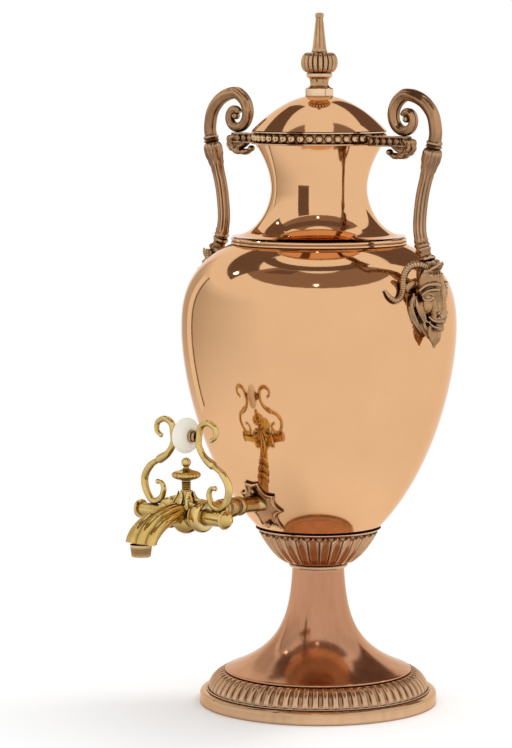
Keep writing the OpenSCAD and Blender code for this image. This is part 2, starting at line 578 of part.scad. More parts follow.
// The right side's points as shares of the half width and half height, from the foot up
plate_points = [[0.55, -1], [1, -0.18], [0.92, 0.49], [0.35, 1]];
function scallop(a, b, share, n = 5) = [for (k = [0:n - 1]) let (d = b - a)
    a + d * k / n + share * sin(180 * k / n) * [-d[1], d[0]]];
function plate_outline() = let (right = [for (p = plate_points) [p[0] * plate_half_w, p[1] * plate_half_h]],
        all = concat(right, [for (p = reversed(right)) [-p[0], p[1]]]), n = len(all))
    [for (i = [0:n - 1]) each scallop(all[i], all[(i + 1) % n], i % (n / 2) == n / 2 - 1 ? 0.09 : 0.27)];
// The part of a thing drawn in the plate's own plane that lies between two distances from the bowl
module plate_layer(inner, outer) intersection() {
    half = plate_half_h + 8;
    rows = [for (k = [0:14]) plate_z + half * (k / 7 - 1)];
    turned(concat([for (z = rows) [bowl_r(z) + outer, z]], [for (z = reversed(rows)) [bowl_r(z) + inner, z]]));
    translate([0, 0, plate_z]) rotate([90, 0, 0]) linear_extrude(height = belly_r) children();
}
module escutcheon() color(bronze) difference() {
    plate_layer(2 * seat_gap, 2 * seat_gap + plate_t * 1.3) polygon(plate_outline());
    plate_layer(2 * seat_gap + plate_t * 1.3 - sunk_depth, 2 * seat_gap + plate_t * 1.3 + sunk_depth)
        polygon(sunk_share * plate_outline());
    along_tap() cylinder(h = belly_r, r = shank_r + seat_gap, $fn = small_fn);
    rivet_places() cylinder(h = 10 * plate_t, r = rivet_r + seat_gap, center = true, $fn = 24);
}
module rivet_places() for (s = [-1, 1]) let (z = plate_z + s * 0.72 * plate_half_h)
    translate([0, -bowl_r(z), z]) rotate([90 + bowl_lean(z), 0, 0]) children();
module escutcheon_rivets() color(brass) rivet_places() {
    translate([0, 0, -bowl_wall - saddle_t - 1.6])
        cylinder(h = bowl_wall + saddle_t + plate_t + 2.6, r = rivet_r, $fn = 24);
    translate([0, 0, plate_t * 1.3 + 0.9]) intersection() {
        sphere(r = 2.4, $fn = 24);
        cylinder(h = 4, r = 4, $fn = 24);
    }
}
saddle_t = 2.2;
module tap_saddle() color(leather_brown) difference() {
    plate_layer(-bowl_wall * 1.35 - saddle_t, -bowl_wall * 1.35)
        polygon([for (a = [0:15:345]) (plate_half_h - 2) * [cos(a), sin(a)]]);
    along_tap() cylinder(h = belly_r, r = shank_r + seat_gap, $fn = small_fn);
    rivet_places() cylinder(h = 15 * plate_t, r = rivet_r + seat_gap, center = true, $fn = 24);
}

// Tap shank: a turned baluster along the tap's axis, measured outwards from the urn's axis
shank_r = 7;
shank_in = bowl_r(tap_z) - 16;
shank_out = bowl_r(tap_z + shank_r) + 1.3 * plate_t + 5 * seat_gap;
shank_end = tap_reach - tail_len;
// Turned part: [share of the shank's radius, share of its length], with taper, ring, cushion and double ring
shank_turning = [[0.98, 0], [0.9, 0.4], [1.04, 0.42], [1.09, 0.475], [1.04, 0.53], [0.8, 0.55], [0.8, 0.59],
    [1.03, 0.62], [1.14, 0.67], [1.14, 0.77], [1.03, 0.82], [0.83, 0.85], [0.83, 0.88], [1.03, 0.9],
    [1.11, 0.94], [1.03, 0.985], [0.97, 1]];
module tap_shank() color(brass) along_tap() difference() {
    turned_small(concat([[0, shank_in], [shank_r, shank_in], [shank_r, shank_out]],
        [for (p = shank_turning) [p[0] * shank_r, shank_out + 0.2 + (shank_end - shank_out - 0.2) * p[1]]],
        [[0, shank_end]]));
    translate([0, 0, shank_in - 1]) cylinder(h = shank_end, r = water_r, $fn = small_fn);
}

// Tap body: barrel across, tail to the shank, boss above, belly below and lobed spout
boss_top = tap_z + boss_h;
lip_z = tap_z - spout_drop;
spout_run = spout_reach - tap_reach;
// The spout's middle line as [share of its run, share of its drop], then straight down past the lip
spout_knots = [[-0.04, 0.09], [0.2, 0.17], [0.44, 0.09], [0.72, -0.17], [0.9, -0.52], [0.98, -0.8], [1, -1],
    [1, -1.3]];
spout_shares = [[0.62, 0.54], [0.66, 0.55], [0.72, 0.57], [0.81, 0.61], [0.9, 0.68], [0.96, 0.72], [1, 0.74],
    [1.01, 0.74]];
spout_lobes = 7;
function spout_path(n) = [for (p = spline(spout_knots, n))
    [0, -tap_reach - p[0] * spout_run, tap_z + p[1] * spout_drop]];
// Half of the barrel's outline, as shares of its radius and half length: a waist and a round collar
barrel_turning = [[0.93, 0.52], [0.98, 0.57], [1.06, 0.61], [1.11, 0.68], [1.12, 0.77], [1.1, 0.87],
    [1.03, 0.95], [0.86, 1]];
// The upright vase through the barrel, as shares of its radius and of the belly's depth or the boss's height
belly_turning = [[0, -1], [0.28, -0.97], [0.64, -0.83], [0.9, -0.62], [1.04, -0.38], [1.1, -0.06]];
boss_turning = [[1.1, 0.12], [1.03, 0.33], [0.86, 0.52], [0.65, 0.68], [0.54, 0.84], [0.5, 0.96], [0.48, 1],
    [0, 1]];
// The tail that runs from the shank into the barrel, as shares of its radius and length
tail_turning = [[0, 0], [1, 0], [1.07, 0.02], [1.14, 0.06], [1.07, 0.1], [0.97, 0.12], [0.97, 0.6], [1.3, 1],
    [0, 1]];
tail_r = 0.98 * shank_r;
module tap_body() color(brass) difference() {
    union() {
        along_x(-tap_reach, tap_z) turned_small(concat([[0, -barrel_half]],
            [for (p = reversed(barrel_turning)) [p[0] * barrel_r, -p[1] * barrel_half]],
            [for (p = barrel_turning) [p[0] * barrel_r, p[1] * barrel_half]], [[0, barrel_half]]));
        along_tap() turned_small([for (p = tail_turning)
            [p[0] * tail_r, shank_end + seat_gap + p[1] * tail_len]]);
        translate([0, -tap_reach, tap_z]) turned_small(concat(
            [for (p = belly_turning) [p[0] * barrel_r, p[1] * belly_drop]],
            [for (p = boss_turning) [p[0] * barrel_r, p[1] * boss_h]]));
        bar(spout_path(3), [for (p = spline(spout_shares, 3)) p * spout_w], [1, 0, 0], 3 * spout_lobes, 0.13,
            spout_lobes);
    }
    along_x(-tap_reach, tap_z)
        cylinder(h = 3 * barrel_half, r = plug_r + run_gap, center = true, $fn = small_fn);
    along_tap() translate([0, 0, shank_end - 1]) cylinder(h = tail_len + 1, r = water_r, $fn = small_fn);
    translate([0, -tap_reach, tap_z]) cylinder(h = 2 * boss_h, r = screw_r + run_gap, $fn = small_fn);
    bar(spout_path(2), round_sizes([for (p = spout_path(2)) nozzle_bore_r - 1]), [1, 0, 0], 10);
    translate([-2 * spout_w, -spout_reach - 2 * spout_w, lip_z - spout_drop])
        cube([4 * spout_w, 4 * spout_w, spout_drop]);
}
module spout_nozzle() color(brass) translate([0, -spout_reach, lip_z - seat_gap - nozzle_h]) difference() {
    turned_small([for (p = [[-5.6, 0], [1.4, 0], [1.9, 0.06], [3, 1], [-5.6, 1]])
        [max(0, nozzle_bore_r + p[0]), p[1] * nozzle_h]]);
    translate([0, 0, -1]) cylinder(h = nozzle_h + 2, r = nozzle_bore_r, $fn = small_fn);
}

// Lever: plug and crossbar, lyre arms and grip. The crossbar is a little thicker on the right.
crossbar_taper = 0.5;
crossbar_thin_r = crossbar_r - crossbar_taper;
crossbar_thick_r = crossbar_r + crossbar_taper;
module tap_plug() color(brass) difference() {
    along_x(-tap_reach, tap_z) turned_small([[0, -crossbar_left], [crossbar_thin_r, -crossbar_left],
        [crossbar_thin_r, -barrel_half - 0.4], [plug_r, -barrel_half - 0.4], [plug_r, barrel_half + 0.4],
        [crossbar_thick_r, barrel_half + 0.4], [crossbar_thick_r, crossbar_right], [0, crossbar_right]]);
    translate([0, -tap_reach, tap_z]) cylinder(h = 4 * plug_r, r = water_r, center = true, $fn = small_fn);
}
// End pieces as [beyond the crossbar's radius, beyond its end]
flange_turning = [[0, 0], [2, 0.5], [2.3, 1.4], [1.9, 2.7], [-1, 3.3], [-6, 3.7]];
knob_turning = [[0, 0], [1.3, 0.4], [1.6, 1.2], [1.3, 2], [0.5, 2.4], [0.4, 3], [-0.4, 4.4], [-2, 6], [-4, 6.9],
    [-7, 7.2]];
module end_piece(r, end, turning) turned_small(concat([[0, end + seat_gap]],
    [for (p = turning) [max(0, r + p[0]), end + seat_gap + p[1]]]));
module crossbar_flange() color(brass) along_x(-tap_reach, tap_z) mirror([0, 0, 1])
    end_piece(crossbar_thin_r, crossbar_left, flange_turning);
module crossbar_knob() color(brass) along_x(-tap_reach, tap_z)
    end_piece(crossbar_thick_r, crossbar_right, knob_turning);

grip_z = tap_z + grip_rise;
strand_x = grip_w / 2 + 7.7;
// A lyre arm as shares: [of its reach, of the way from the crossbar to the bead, of its radius]
lyre_knots = [[0.434, 0.97, 0.55], [0.566, 1.03, 0.75], [0.539, 1.148, 0.85], [0.296, 1.21, 0.95],
    [0.059, 1.148, 1], [0, 1, 1], [0, 0.871, 1], [0.171, 0.723, 1.05], [0.447, 0.624, 1.35], [0.789, 0.513, 1.1],
    [1, 0.336, 1.15], [0.967, 0.159, 1.1], [0.789, 0.02, 1], [0.605, 0, 1], [0.414, 0.066, 0.95],
    [0.342, 0.192, 0.85], [0.414, 0.277, 0.7], [0.539, 0.288, 0.5]];
lyre_low = crossbar_thick_r + lyre_r - 1.2;
module lyre_arm(side) color(brass) mirrored(side) difference() {
    bar([for (k = spline(lyre_knots, 2))
        [strand_x + k[0] * lyre_reach, -tap_reach, tap_z + lyre_low + k[1] * (grip_rise - lyre_low)]],
        [for (k = spline(lyre_knots, 2)) k[2] * lyre_r * [1, 1]], [0, 1, 0], 8);
    along_x(-tap_reach, tap_z)
        cylinder(h = 4 * crossbar_left, r = crossbar_r + side * crossbar_taper + seat_gap / 5, center = true,
            $fn = small_fn);
}
module grip_bead() color(bone) along_x(-tap_reach, grip_z) turned_small(concat(
    [[stud_r + seat_gap, -grip_w / 2]],
    [for (a = [-75:15:75]) [grip_r * (0.34 + 0.66 * cos(a)), grip_w / 2 * sin(a)]],
    [[stud_r + seat_gap, grip_w / 2]]));
module bead_spindle() color(brass) along_x(-tap_reach, grip_z) {
    end = strand_x - lyre_r - 2 * seat_gap;
    face = grip_w / 2 + seat_gap;
    half = [[stud_r, face], [4.9, face], [4.9, face + 1.6], [3.6, face + 2.2], [4.2, end - 1.4], [3.2, end],
        [0, end]];
    turned_small(concat([for (p = reversed(half)) [p[0], -p[1]]], half));
}

pad_h = 2.4;
pad_z = tap_z + plug_r + free_gap;
screw_z = pad_z + pad_h + seat_gap / 2;
mushroom_z = boss_top + 8.4;
finger_ball_r = 3.8;
thread_pitch = 1.4;
module screw_stem() color(brass) translate([0, -tap_reach, 0])
    turned_small(concat([[0, screw_z], [screw_r, screw_z]],
        [for (k = [0:4]) let (z = boss_top + 1 + thread_pitch * k)
            each [[screw_r, z + 0.2], [screw_r - 0.5, z + 0.6], [screw_r, z + 1]]],
        [[screw_r, mushroom_z - seat_gap], [0, mushroom_z - seat_gap]]));
// The mushroom as [share of its radius, share of its height], then a neck that carries the ball
mushroom_h = 8.8;
mushroom_turning = [[0.36, 0], [0.5, 0.04], [0.84, 0.2], [0.98, 0.38], [1, 0.5], [0.97, 0.62], [0.82, 0.76],
    [0.5, 0.87], [0.3, 1]];
module tension_screw() color(brass) translate([0, -tap_reach, mushroom_z]) {
    turned_small(concat([[0, 0]], [for (p = mushroom_turning) [p[0] * mushroom_r, p[1] * mushroom_h]],
        [[1.8, mushroom_h + 1], [1.8, mushroom_h + 2.2], [0, mushroom_h + 2.2]]));
    translate([0, 0, mushroom_h + 1.4 + finger_ball_r]) sphere(r = finger_ball_r, $fn = 32);
}
module packing_pad() color(leather_brown) translate([0, -tap_reach, pad_z])
    cylinder(h = pad_h, r = screw_r - run_gap, $fn = small_fn);

// Heater in the bowl
well_z = bowl_z + bowl_wall + seat_gap;
well_floor = 5;
slug_r = well_r - well_wall - slug_gap;
slug_z = well_z + well_floor + free_gap;
cover_t = 2;
eye_rise = 8.5;
eye_ring_r = 5.2;
eye_wire_r = 1.6;
well_top = slug_z + slug_h + seat_gap + eye_rise + eye_ring_r + eye_wire_r + well_room;
module heater_well() color(copper) turned([[0, well_z], [0.62 * well_r, well_z], [well_r, well_z + well_floor],
    [well_r, well_top], [well_r - well_wall, well_top], [well_r - well_wall, well_z + well_floor],
    [0, well_z + well_floor]]);
spigot_r = well_r - well_wall - 0.6;
cover_z = well_top + free_gap;
module well_cover() color(copper) turned([[0, cover_z], [spigot_r, cover_z], [spigot_r, well_top - 5],
    [spigot_r + free_gap, well_top - 5], [spigot_r + free_gap, cover_z], [well_r + 1.5, cover_z],
    [well_r + 1.5, cover_z + cover_t - 0.8], [well_r + 0.6, cover_z + cover_t], [0, cover_z + cover_t]]);
module cover_knob() color(brass) translate([0, 0, well_top + free_gap + cover_t + seat_gap])
    turned_small([[0, 0], [5, 0], [5, 1], [2.4, 2.4], [2.2, 5], [4.4, 7], [6.2, 9.4], [6.2, 11.4], [4.4, 13.6],
        [0, 14.4]]);
module heater_slug() color(iron) translate([0, 0, slug_z])
    turned([[0, 0], [slug_r - 2, 0], [slug_r, 2], [slug_r, slug_h - 3], [slug_r - 3, slug_h], [0, slug_h]]);
module slug_eye() color(iron) translate([0, 0, slug_z + slug_h + seat_gap]) {
    turned_small([[0, 0], [3.4, 0], [3.4, 2.6], [0, 2.6]]);
    translate([0, 0, eye_rise]) rotate([90, 0, 0]) rotate_extrude($fn = small_fn) translate([eye_ring_r, 0])
        circle(r = eye_wire_r, $fn = 20);
}

base_ring();
gadroon_ring();
foot();
stem_collar();
calyx_cup();
bowl_shell();
shoulder_shell();
shoulder_ring();
neck_shell();
beaded_rim();
lid_dome();
lid_sleeve();
finial_base();
finial_ball();
finial_spire();
finial_stud();
finial_nut();
handle(1);  // handle_right
handle(-1);  // handle_left
handle_clasp(1);  // handle_clasp_right
handle_clasp(-1);  // handle_clasp_left
handle_foot(1);  // handle_foot_right
handle_foot(-1);  // handle_foot_left
ram_head(1);  // ram_head_right
ram_head(-1);  // ram_head_left
head_screws();
escutcheon();
escutcheon_rivets();
tap_saddle();
tap_shank();
tap_body();
spout_nozzle();
tap_plug();
crossbar_flange();
crossbar_knob();
lyre_arm(1);  // lyre_arm_right
lyre_arm(-1);  // lyre_arm_left
grip_bead();
bead_spindle();
screw_stem();
tension_screw();
packing_pad();
heater_well();
well_cover();
cover_knob();
heater_slug();
slug_eye();
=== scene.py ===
"""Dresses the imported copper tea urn: fine turned and cast pieces, metal finishes, studio and camera.

Lengths in the classes are in millimetres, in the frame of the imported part: Z is up, the origin is the
centre of the base, the tap points to -Y and the handles to +X and -X. Forms turn them into metres.
"""

from __future__ import annotations

import logging
import math
from dataclasses import dataclass, field
from enum import Enum
from typing import Any, Callable, Mapping, Sequence

import bmesh
import bpy
import numpy as np
from mathutils import Matrix, Vector


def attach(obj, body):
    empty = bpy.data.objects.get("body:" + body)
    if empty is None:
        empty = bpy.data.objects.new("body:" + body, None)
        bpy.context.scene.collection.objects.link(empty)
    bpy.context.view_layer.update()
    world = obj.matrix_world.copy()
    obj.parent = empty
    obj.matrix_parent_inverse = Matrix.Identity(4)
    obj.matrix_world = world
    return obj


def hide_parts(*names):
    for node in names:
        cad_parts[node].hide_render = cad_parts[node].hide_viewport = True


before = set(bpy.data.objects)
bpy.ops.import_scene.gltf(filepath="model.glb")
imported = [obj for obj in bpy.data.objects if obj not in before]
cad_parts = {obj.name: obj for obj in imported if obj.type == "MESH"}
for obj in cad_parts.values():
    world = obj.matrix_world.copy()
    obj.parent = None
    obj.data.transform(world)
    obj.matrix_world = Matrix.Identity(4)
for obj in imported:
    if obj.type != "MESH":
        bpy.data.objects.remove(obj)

MM = 0.001
log = logging.getLogger("tea_urn")

Pair = tuple[float, float]
Point = tuple[float, float, float]
Outline = Sequence[Pair]


class Body(Enum):
    """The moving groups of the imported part."""

    URN = "urn"
    LID = "lid"
    LEVER = "lever"
    SCREW = "screw"


class Slot(Enum):
    """The record's material slots."""

    COPPER = "copper"
    BRONZE = "bronze"
    BRASS = "brass"


class Side(Enum):
    """The two sides that carry a handle."""

    RIGHT = 1
    LEFT = -1

    def tag(self) -> str:
        """The side's word in piece names."""
        return self.name.lower()


# Curves and outlines


def smooth_curve(knots: Sequence[Sequence[float]], steps: int) -> np.ndarray:
    """Runs a smooth curve through knots.

    Args:
        knots: Points of any one dimension.
        steps: Parts between two knots.

    Returns:
        The curve's points, one row each.
    """
    p = np.asarray(knots, float)
    if p.ndim == 1:
        p = p[:, None]
    last = len(p) - 1
    rows = []
    for i in range(last):
        a, b, c, d = p[max(i - 1, 0)], p[i], p[i + 1], p[min(i + 2, last)]
        for k in range(steps):
            t = k / steps
            rows.append(0.5 * (2 * b + (c - a) * t + (2 * a - 5 * b + 4 * c - d) * t * t
                               + (3 * b - a - 3 * c + d) * t ** 3))
    rows.append(p[last])
    return np.array(rows)


def bump(x: float, centre: float, width: float) -> float:
    """A round hump of height 1 at centre that ends width away from it."""
    d = abs(x - centre) / width
    return 0.0 if d >= 1 else (1 - d * d) ** 2


def step(x: float, low: float, high: float) -> float:
    """Rises smoothly from 0 at low to 1 at high."""
    t = min(max((x - low) / (high - low), 0.0), 1.0)
    return t * t * (3 - 2 * t)


def arc(centre: Pair, radius: float, start: float, end: float, parts: int) -> list[Pair]:
    """Points on an arc of a profile, with angles in degrees from the outward direction."""
    angles = [math.radians(start + (end - start) * k / parts) for k in range(parts + 1)]
    return [(centre[0] + radius * math.cos(a), centre[1] + radius * math.sin(a)) for a in angles]


def off_middle(f: float, count: int) -> float:
    """How far a share of a turn is from the middle of its lobe: 0 there, 1 at the lobe's edges."""
    return abs(((f * count) % 1.0) - 0.5) * 2


def round_lobe(f: float, count: int, fullness: float, shift: float = 0.0) -> float:
    """Height of the round lobe at a share of a turn: 1 at its middle, 0 in the groove."""
    return abs(math.cos(math.pi * ((f * count + shift) % 1.0 - 0.5))) ** fullness


def oval(across: float, deep: float, f: float) -> float:
    """Radius of an oval at a share of a turn, from its two half widths."""
    c, e = math.cos(2 * math.pi * f), math.sin(2 * math.pi * f)
    return 1.0 / math.sqrt((c / across) ** 2 + (e / deep) ** 2)


def sizes_along(values: Sequence[float], steps: int) -> Callable[[float], float]:
    """Runs a smooth curve through sizes.

    Args:
        values: The sizes from the start to the end.
        steps: Parts between two sizes.

    Returns:
        A function that gives the size at a share of the way.
    """
    sizes = smooth_curve([[v] for v in values], steps)[:, 0]
    grid = np.linspace(0, 1, len(sizes))
    return lambda s: float(np.interp(s, grid, sizes))


def shares_along(path: np.ndarray) -> np.ndarray:
    """The share of a path's length that each of its points stands at."""
    lengths = np.r_[0, np.cumsum(np.linalg.norm(np.diff(path, axis=0), axis=1))]
    return lengths / lengths[-1]


@dataclass(frozen=True)
class UrnSizes:
    """Sizes that several sub-assemblies share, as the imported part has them."""

    gadroon_z: float = 10.6
    gadroon_h: float = 15.4
    gadroon_r: float = 90.9
    disc_r: float = 76.5
    disc_z: float = 26.1
    foot_top: float = 111.6
    stem_r: float = 21.2
    collar_r: float = 24.2
    calyx_z: float = 115.9
    calyx_h: float = 28.7
    bowl_z: float = 121.4
    belly_r: float = 112.0
    belly_z: float = 307.1
    mouth_z: float = 376.3
    waist_z: float = 421.3
    neck_r: float = 38.9
    neck_drop: float = 38.5
    neck_rise: float = 35.5
    rim_z: float = 456.9
    rim_top: float = 467.7
    bead_ring_r: float = 52.1
    lid_z: float = 468.0
    lid_r: float = 54.3
    lid_rise: float = 28.4
    tap_z: float = 172.1
    tap_reach: float = 157.0

    def bowl_r(self, z: float) -> float:
        """Outer radius of the bowl at a height."""
        if z < self.belly_z:
            u = (self.belly_z - z) / (self.belly_z - self.bowl_z) * 0.9878
            return self.belly_r * max(1 - u ** 1.705, 0.0) ** (1 / 1.85)
        u = (z - self.belly_z) / (self.mouth_z - self.belly_z) * 0.865
        return self.belly_r * max(1 - u ** 2.6, 0.0) ** (1 / 2.5)

    def neck_outer(self, z: float) -> float:
        """Outer radius of the neck at a height."""
        if z < self.waist_z:
            s = min((self.waist_z - z) / self.neck_drop, 1.0)
            return self.neck_r + 31.38 * (1 - math.sqrt(max(1 - s ** 1.8, 0.0)))
        return self.neck_r + 12.6 * ((z - self.waist_z) / self.neck_rise) ** 1.8

    def lid_height(self, r: float) -> float:
        """Height of the lid's outer face at a radius."""
        return self.lid_z + self.lid_rise * (1 - (r / self.lid_r) ** 2)

    def foot_r(self, z: float) -> float:
        """Outer radius of the trumpet foot at a height."""
        low = self.disc_z + 1.6
        e, e1 = math.exp(-(z - low) / 21.2), math.exp(-(self.foot_top - low) / 21.2)
        return self.stem_r + (self.disc_r - self.stem_r) * (e - e1) / (1 - e1)


SIZES = UrnSizes()
ROUND = 256


# Meshes


@dataclass
class Form:
    """Points and faces of a piece while it is made, in millimetres."""

    points: list[Point] = field(default_factory=list)
    faces: list[tuple[int, ...]] = field(default_factory=list)

    def skin(self, rings: Sequence[Sequence[Sequence[float]]], looped: bool = False, capped: bool = True) -> Form:
        """Joins closed rings of points into a skin.

        Args:
            rings: Rings with one number of points each.
            looped: Whether the last ring joins the first one.
            capped: Whether the open ends get a fan to their middle.

        Returns:
            The form itself.
        """
        base, n, m = len(self.points), len(rings), len(rings[0])
        for ring in rings:
            self.points.extend((float(p[0]), float(p[1]), float(p[2])) for p in ring)
        for i in range(n if looped else n - 1):
            a, b = base + i * m, base + ((i + 1) % n) * m
            for j in range(m):
                k = (j + 1) % m
                self.faces.append((a + j, a + k, b + k, b + j))
        if capped and not looped:
            for ring_index, flip in ((0, True), (n - 1, False)):
                start = base + ring_index * m
                middle = len(self.points)
                ring = np.array([self.points[start + j] for j in range(m)])
                self.points.append(tuple(float(v) for v in ring.mean(0)))
                for j in range(m):
                    k = (j + 1) % m
                    self.faces.append((start + k, start + j, middle) if flip else (start + j, start + k, middle))
        return self

    def lathe(self, outline: Outline, sides: int, swell: Callable[[float, int], float] | None = None,
              closed: bool = True) -> Form:
        """Turns an outline of (radius, height) pairs round the urn's axis.

        Args:
            outline: The profile, once round the section if closed.
            sides: Points round the axis.
            swell: Extra radius by share of a turn and index in the outline.
            closed: Whether the outline's end joins its start.

        Returns:
            The form itself.
        """
        rings = []
        for j in range(sides):
            f = j / sides
            c, s = math.cos(2 * math.pi * f), math.sin(2 * math.pi * f)
            ring = []
            for i, (r, z) in enumerate(outline):
                q = r + (swell(f, i) if swell else 0.0)
                ring.append((q * c, q * s, z))
            rings.append(ring)
        base, n, m = len(self.points), sides, len(outline)
        for ring in rings:
            self.points.extend(ring)
        for i in range(n):
            a, b = base + i * m, base + ((i + 1) % n) * m
            for j in range(m if closed else m - 1):
                k = (j + 1) % m
                self.faces.append((a + j, b + j, b + k, a + k))
        return self

    def tube(self, path: np.ndarray, size: Callable[[float, float], float], sides: int,
             flat: Pair = (1.0, 1.0), across: Sequence[float] | None = None) -> Form:
        """Sweeps a ring along a path.

        Args:
            path: The centre line.
            size: Radius by share of the path and share of a turn.
            sides: Points round the path.
            flat: Factors across the reference direction and along it.
            across: Reference direction; without it the rings follow the path with no twist.

        Returns:
            The form itself.
        """
        n, share = len(path), shares_along(path)
        rings = []
        normal = None
        for i in range(n):
            t = path[min(i + 1, n - 1)] - path[max(i - 1, 0)]
            t = t / np.linalg.norm(t)
            if across is not None:
                normal = np.cross(t, np.asarray(across, float))
            elif normal is None:
                normal = np.cross(t, (0.0, 0.0, 1.0) if abs(t[2]) < 0.9 else (1.0, 0.0, 0.0))
            else:
                normal = normal - t * np.dot(normal, t)
            normal = normal / np.linalg.norm(normal)
            side = np.cross(normal, t)
            ring = []
            for j in range(sides):
                f = j / sides
                r = size(float(share[i]), f)
                ring.append(path[i] + side * r * flat[0] * math.cos(2 * math.pi * f)
                            + normal * r * flat[1] * math.sin(2 * math.pi * f))
            rings.append(ring)
        return self.skin(rings)

    def ball(self, centre: Sequence[float], radii: Sequence[float], turn: Matrix | None = None,
             parts: int = 14) -> Form:
        """Adds an ellipsoid, turned by a matrix if one is given."""
        rings = []
        for i in range(1, parts):
            a = math.pi * i / parts
            ring = []
            for j in range(2 * parts):
                b = math.pi * j / parts
                v = Vector((radii[0] * math.sin(a) * math.cos(b), radii[1] * math.sin(a) * math.sin(b),
                            radii[2] * math.cos(a)))
                if turn is not None:
                    v = turn @ v
                ring.append((centre[0] + v.x, centre[1] + v.y, centre[2] + v.z))
            rings.append(ring)
        return self.skin(rings)

    def moved(self, matrix: Matrix) -> Form:
        """Returns the form with a matrix applied to every point."""
        return Form([tuple(matrix @ Vector(p)) for p in self.points], list(self.faces))

    def join(self, other: Form) -> Form:
        """Adds another form's points and faces."""
        base = len(self.points)
        self.points.extend(other.points)
        self.faces.extend(tuple(i + base for i in face) for face in other.faces)
        return self

    def mirrored(self, side: Side) -> Form:
        """Returns the form for a side, drawn on the right and mirrored for the left."""
        if side is Side.RIGHT:
            return self
        return Form([(-p[0], p[1], p[2]) for p in self.points], [tuple(reversed(f)) for f in self.faces])

    def mesh(self, name: str, scale: float = MM) -> bpy.types.Mesh:
        """Makes a mesh with outward normals from the form."""
        mesh = bpy.data.meshes.new(name)
        mesh.from_pydata((np.array(self.points) * scale).tolist(), [], self.faces)
        work = bmesh.new()
        work.from_mesh(mesh)
        bmesh.ops.remove_doubles(work, verts=work.verts, dist=0.002 * scale)
        bmesh.ops.recalc_face_normals(work, faces=work.faces)
        work.to_mesh(mesh)
        work.free()
        return mesh


def cast(form: Form, grain: float, soften: int) -> Form:
    """Melts overlapping pieces into one casting.

    Args:
        form: Closed pieces that overlap.
        grain: Size of the casting's facets.
        soften: Rounds of smoothing.

    Returns:
        The casting as a form.
    """
    thing = bpy.data.objects.new("casting", form.mesh("casting", 1.0))
    bpy.context.scene.collection.objects.link(thing)
    melt = thing.modifiers.new("melt", "REMESH")
    melt.mode = "VOXEL"
    melt.voxel_size = grain
    melt.adaptivity = 0.0
    if soften:
        ease = thing.modifiers.new("ease", "SMOOTH")
        ease.factor = 0.5
        ease.iterations = soften
    made = thing.evaluated_get(bpy.context.evaluated_depsgraph_get())
    mesh = bpy.data.meshes.new_from_object(made)
    result = Form([tuple(v.co) for v in mesh.vertices], [tuple(p.vertices) for p in mesh.polygons])
    bpy.data.objects.remove(thing)
    bpy.data.meshes.remove(mesh)
    return result


def chase(form: Form, strokes: Sequence[tuple[np.ndarray, float, float]]) -> Form:
    """Cuts grooves into a casting, as a chaser's tool does, or raises ridges.

    Args:
        form: The casting.
        strokes: For each stroke its path, its half width and its depth, negative for a ridge.

    Returns:
        The chased form.
    """
    mesh = form.mesh("chasing", 1.0)
    pts = np.zeros(len(mesh.vertices) * 3)
    mesh.vertices.foreach_get("co", pts)
    pts = pts.reshape(-1, 3)
    normals = np.zeros(len(mesh.vertices) * 3, np.float32)
    mesh.vertex_normals.foreach_get("vector", normals)
    normals = normals.reshape(-1, 3).astype(float)
    move = np.zeros(len(pts))
    for path, width, depth in strokes:
        low, high = path.min(0) - width, path.max(0) + width
        near = np.where(((pts > low) & (pts < high)).all(1))[0]
        if not len(near):
            continue
        d = np.full(len(near), 1e9)
        for a, b in zip(path[:-1], path[1:]):
            ab = b - a
            t = np.clip(((pts[near] - a) @ ab) / max(ab @ ab, 1e-9), 0, 1)
            d = np.minimum(d, np.linalg.norm(pts[near] - a - t[:, None] * ab, axis=1))
        cut = np.clip(1 - (d / width) ** 2, 0, None) ** 2 * depth
        better = np.abs(cut) > np.abs(move[near])
        move[near[better]] = cut[better]
    pts = pts - normals * move[:, None]
    result = Form([tuple(p) for p in pts], [tuple(p.vertices) for p in mesh.polygons])
    bpy.data.meshes.remove(mesh)
    return result


def clear_of_bowl(form: Form, gap: float) -> Form:
    """Pushes every point of a form out of the bowl, to a gap from its outer face."""
    points = []
    for x, y, z in form.points:
        r = math.hypot(x, y)
        room = SIZES.bowl_r(z) + gap
        points.append((x * room / r, y * room / r, z) if r < room else (x, y, z))
    return Form(points, form.faces)


# Finishes


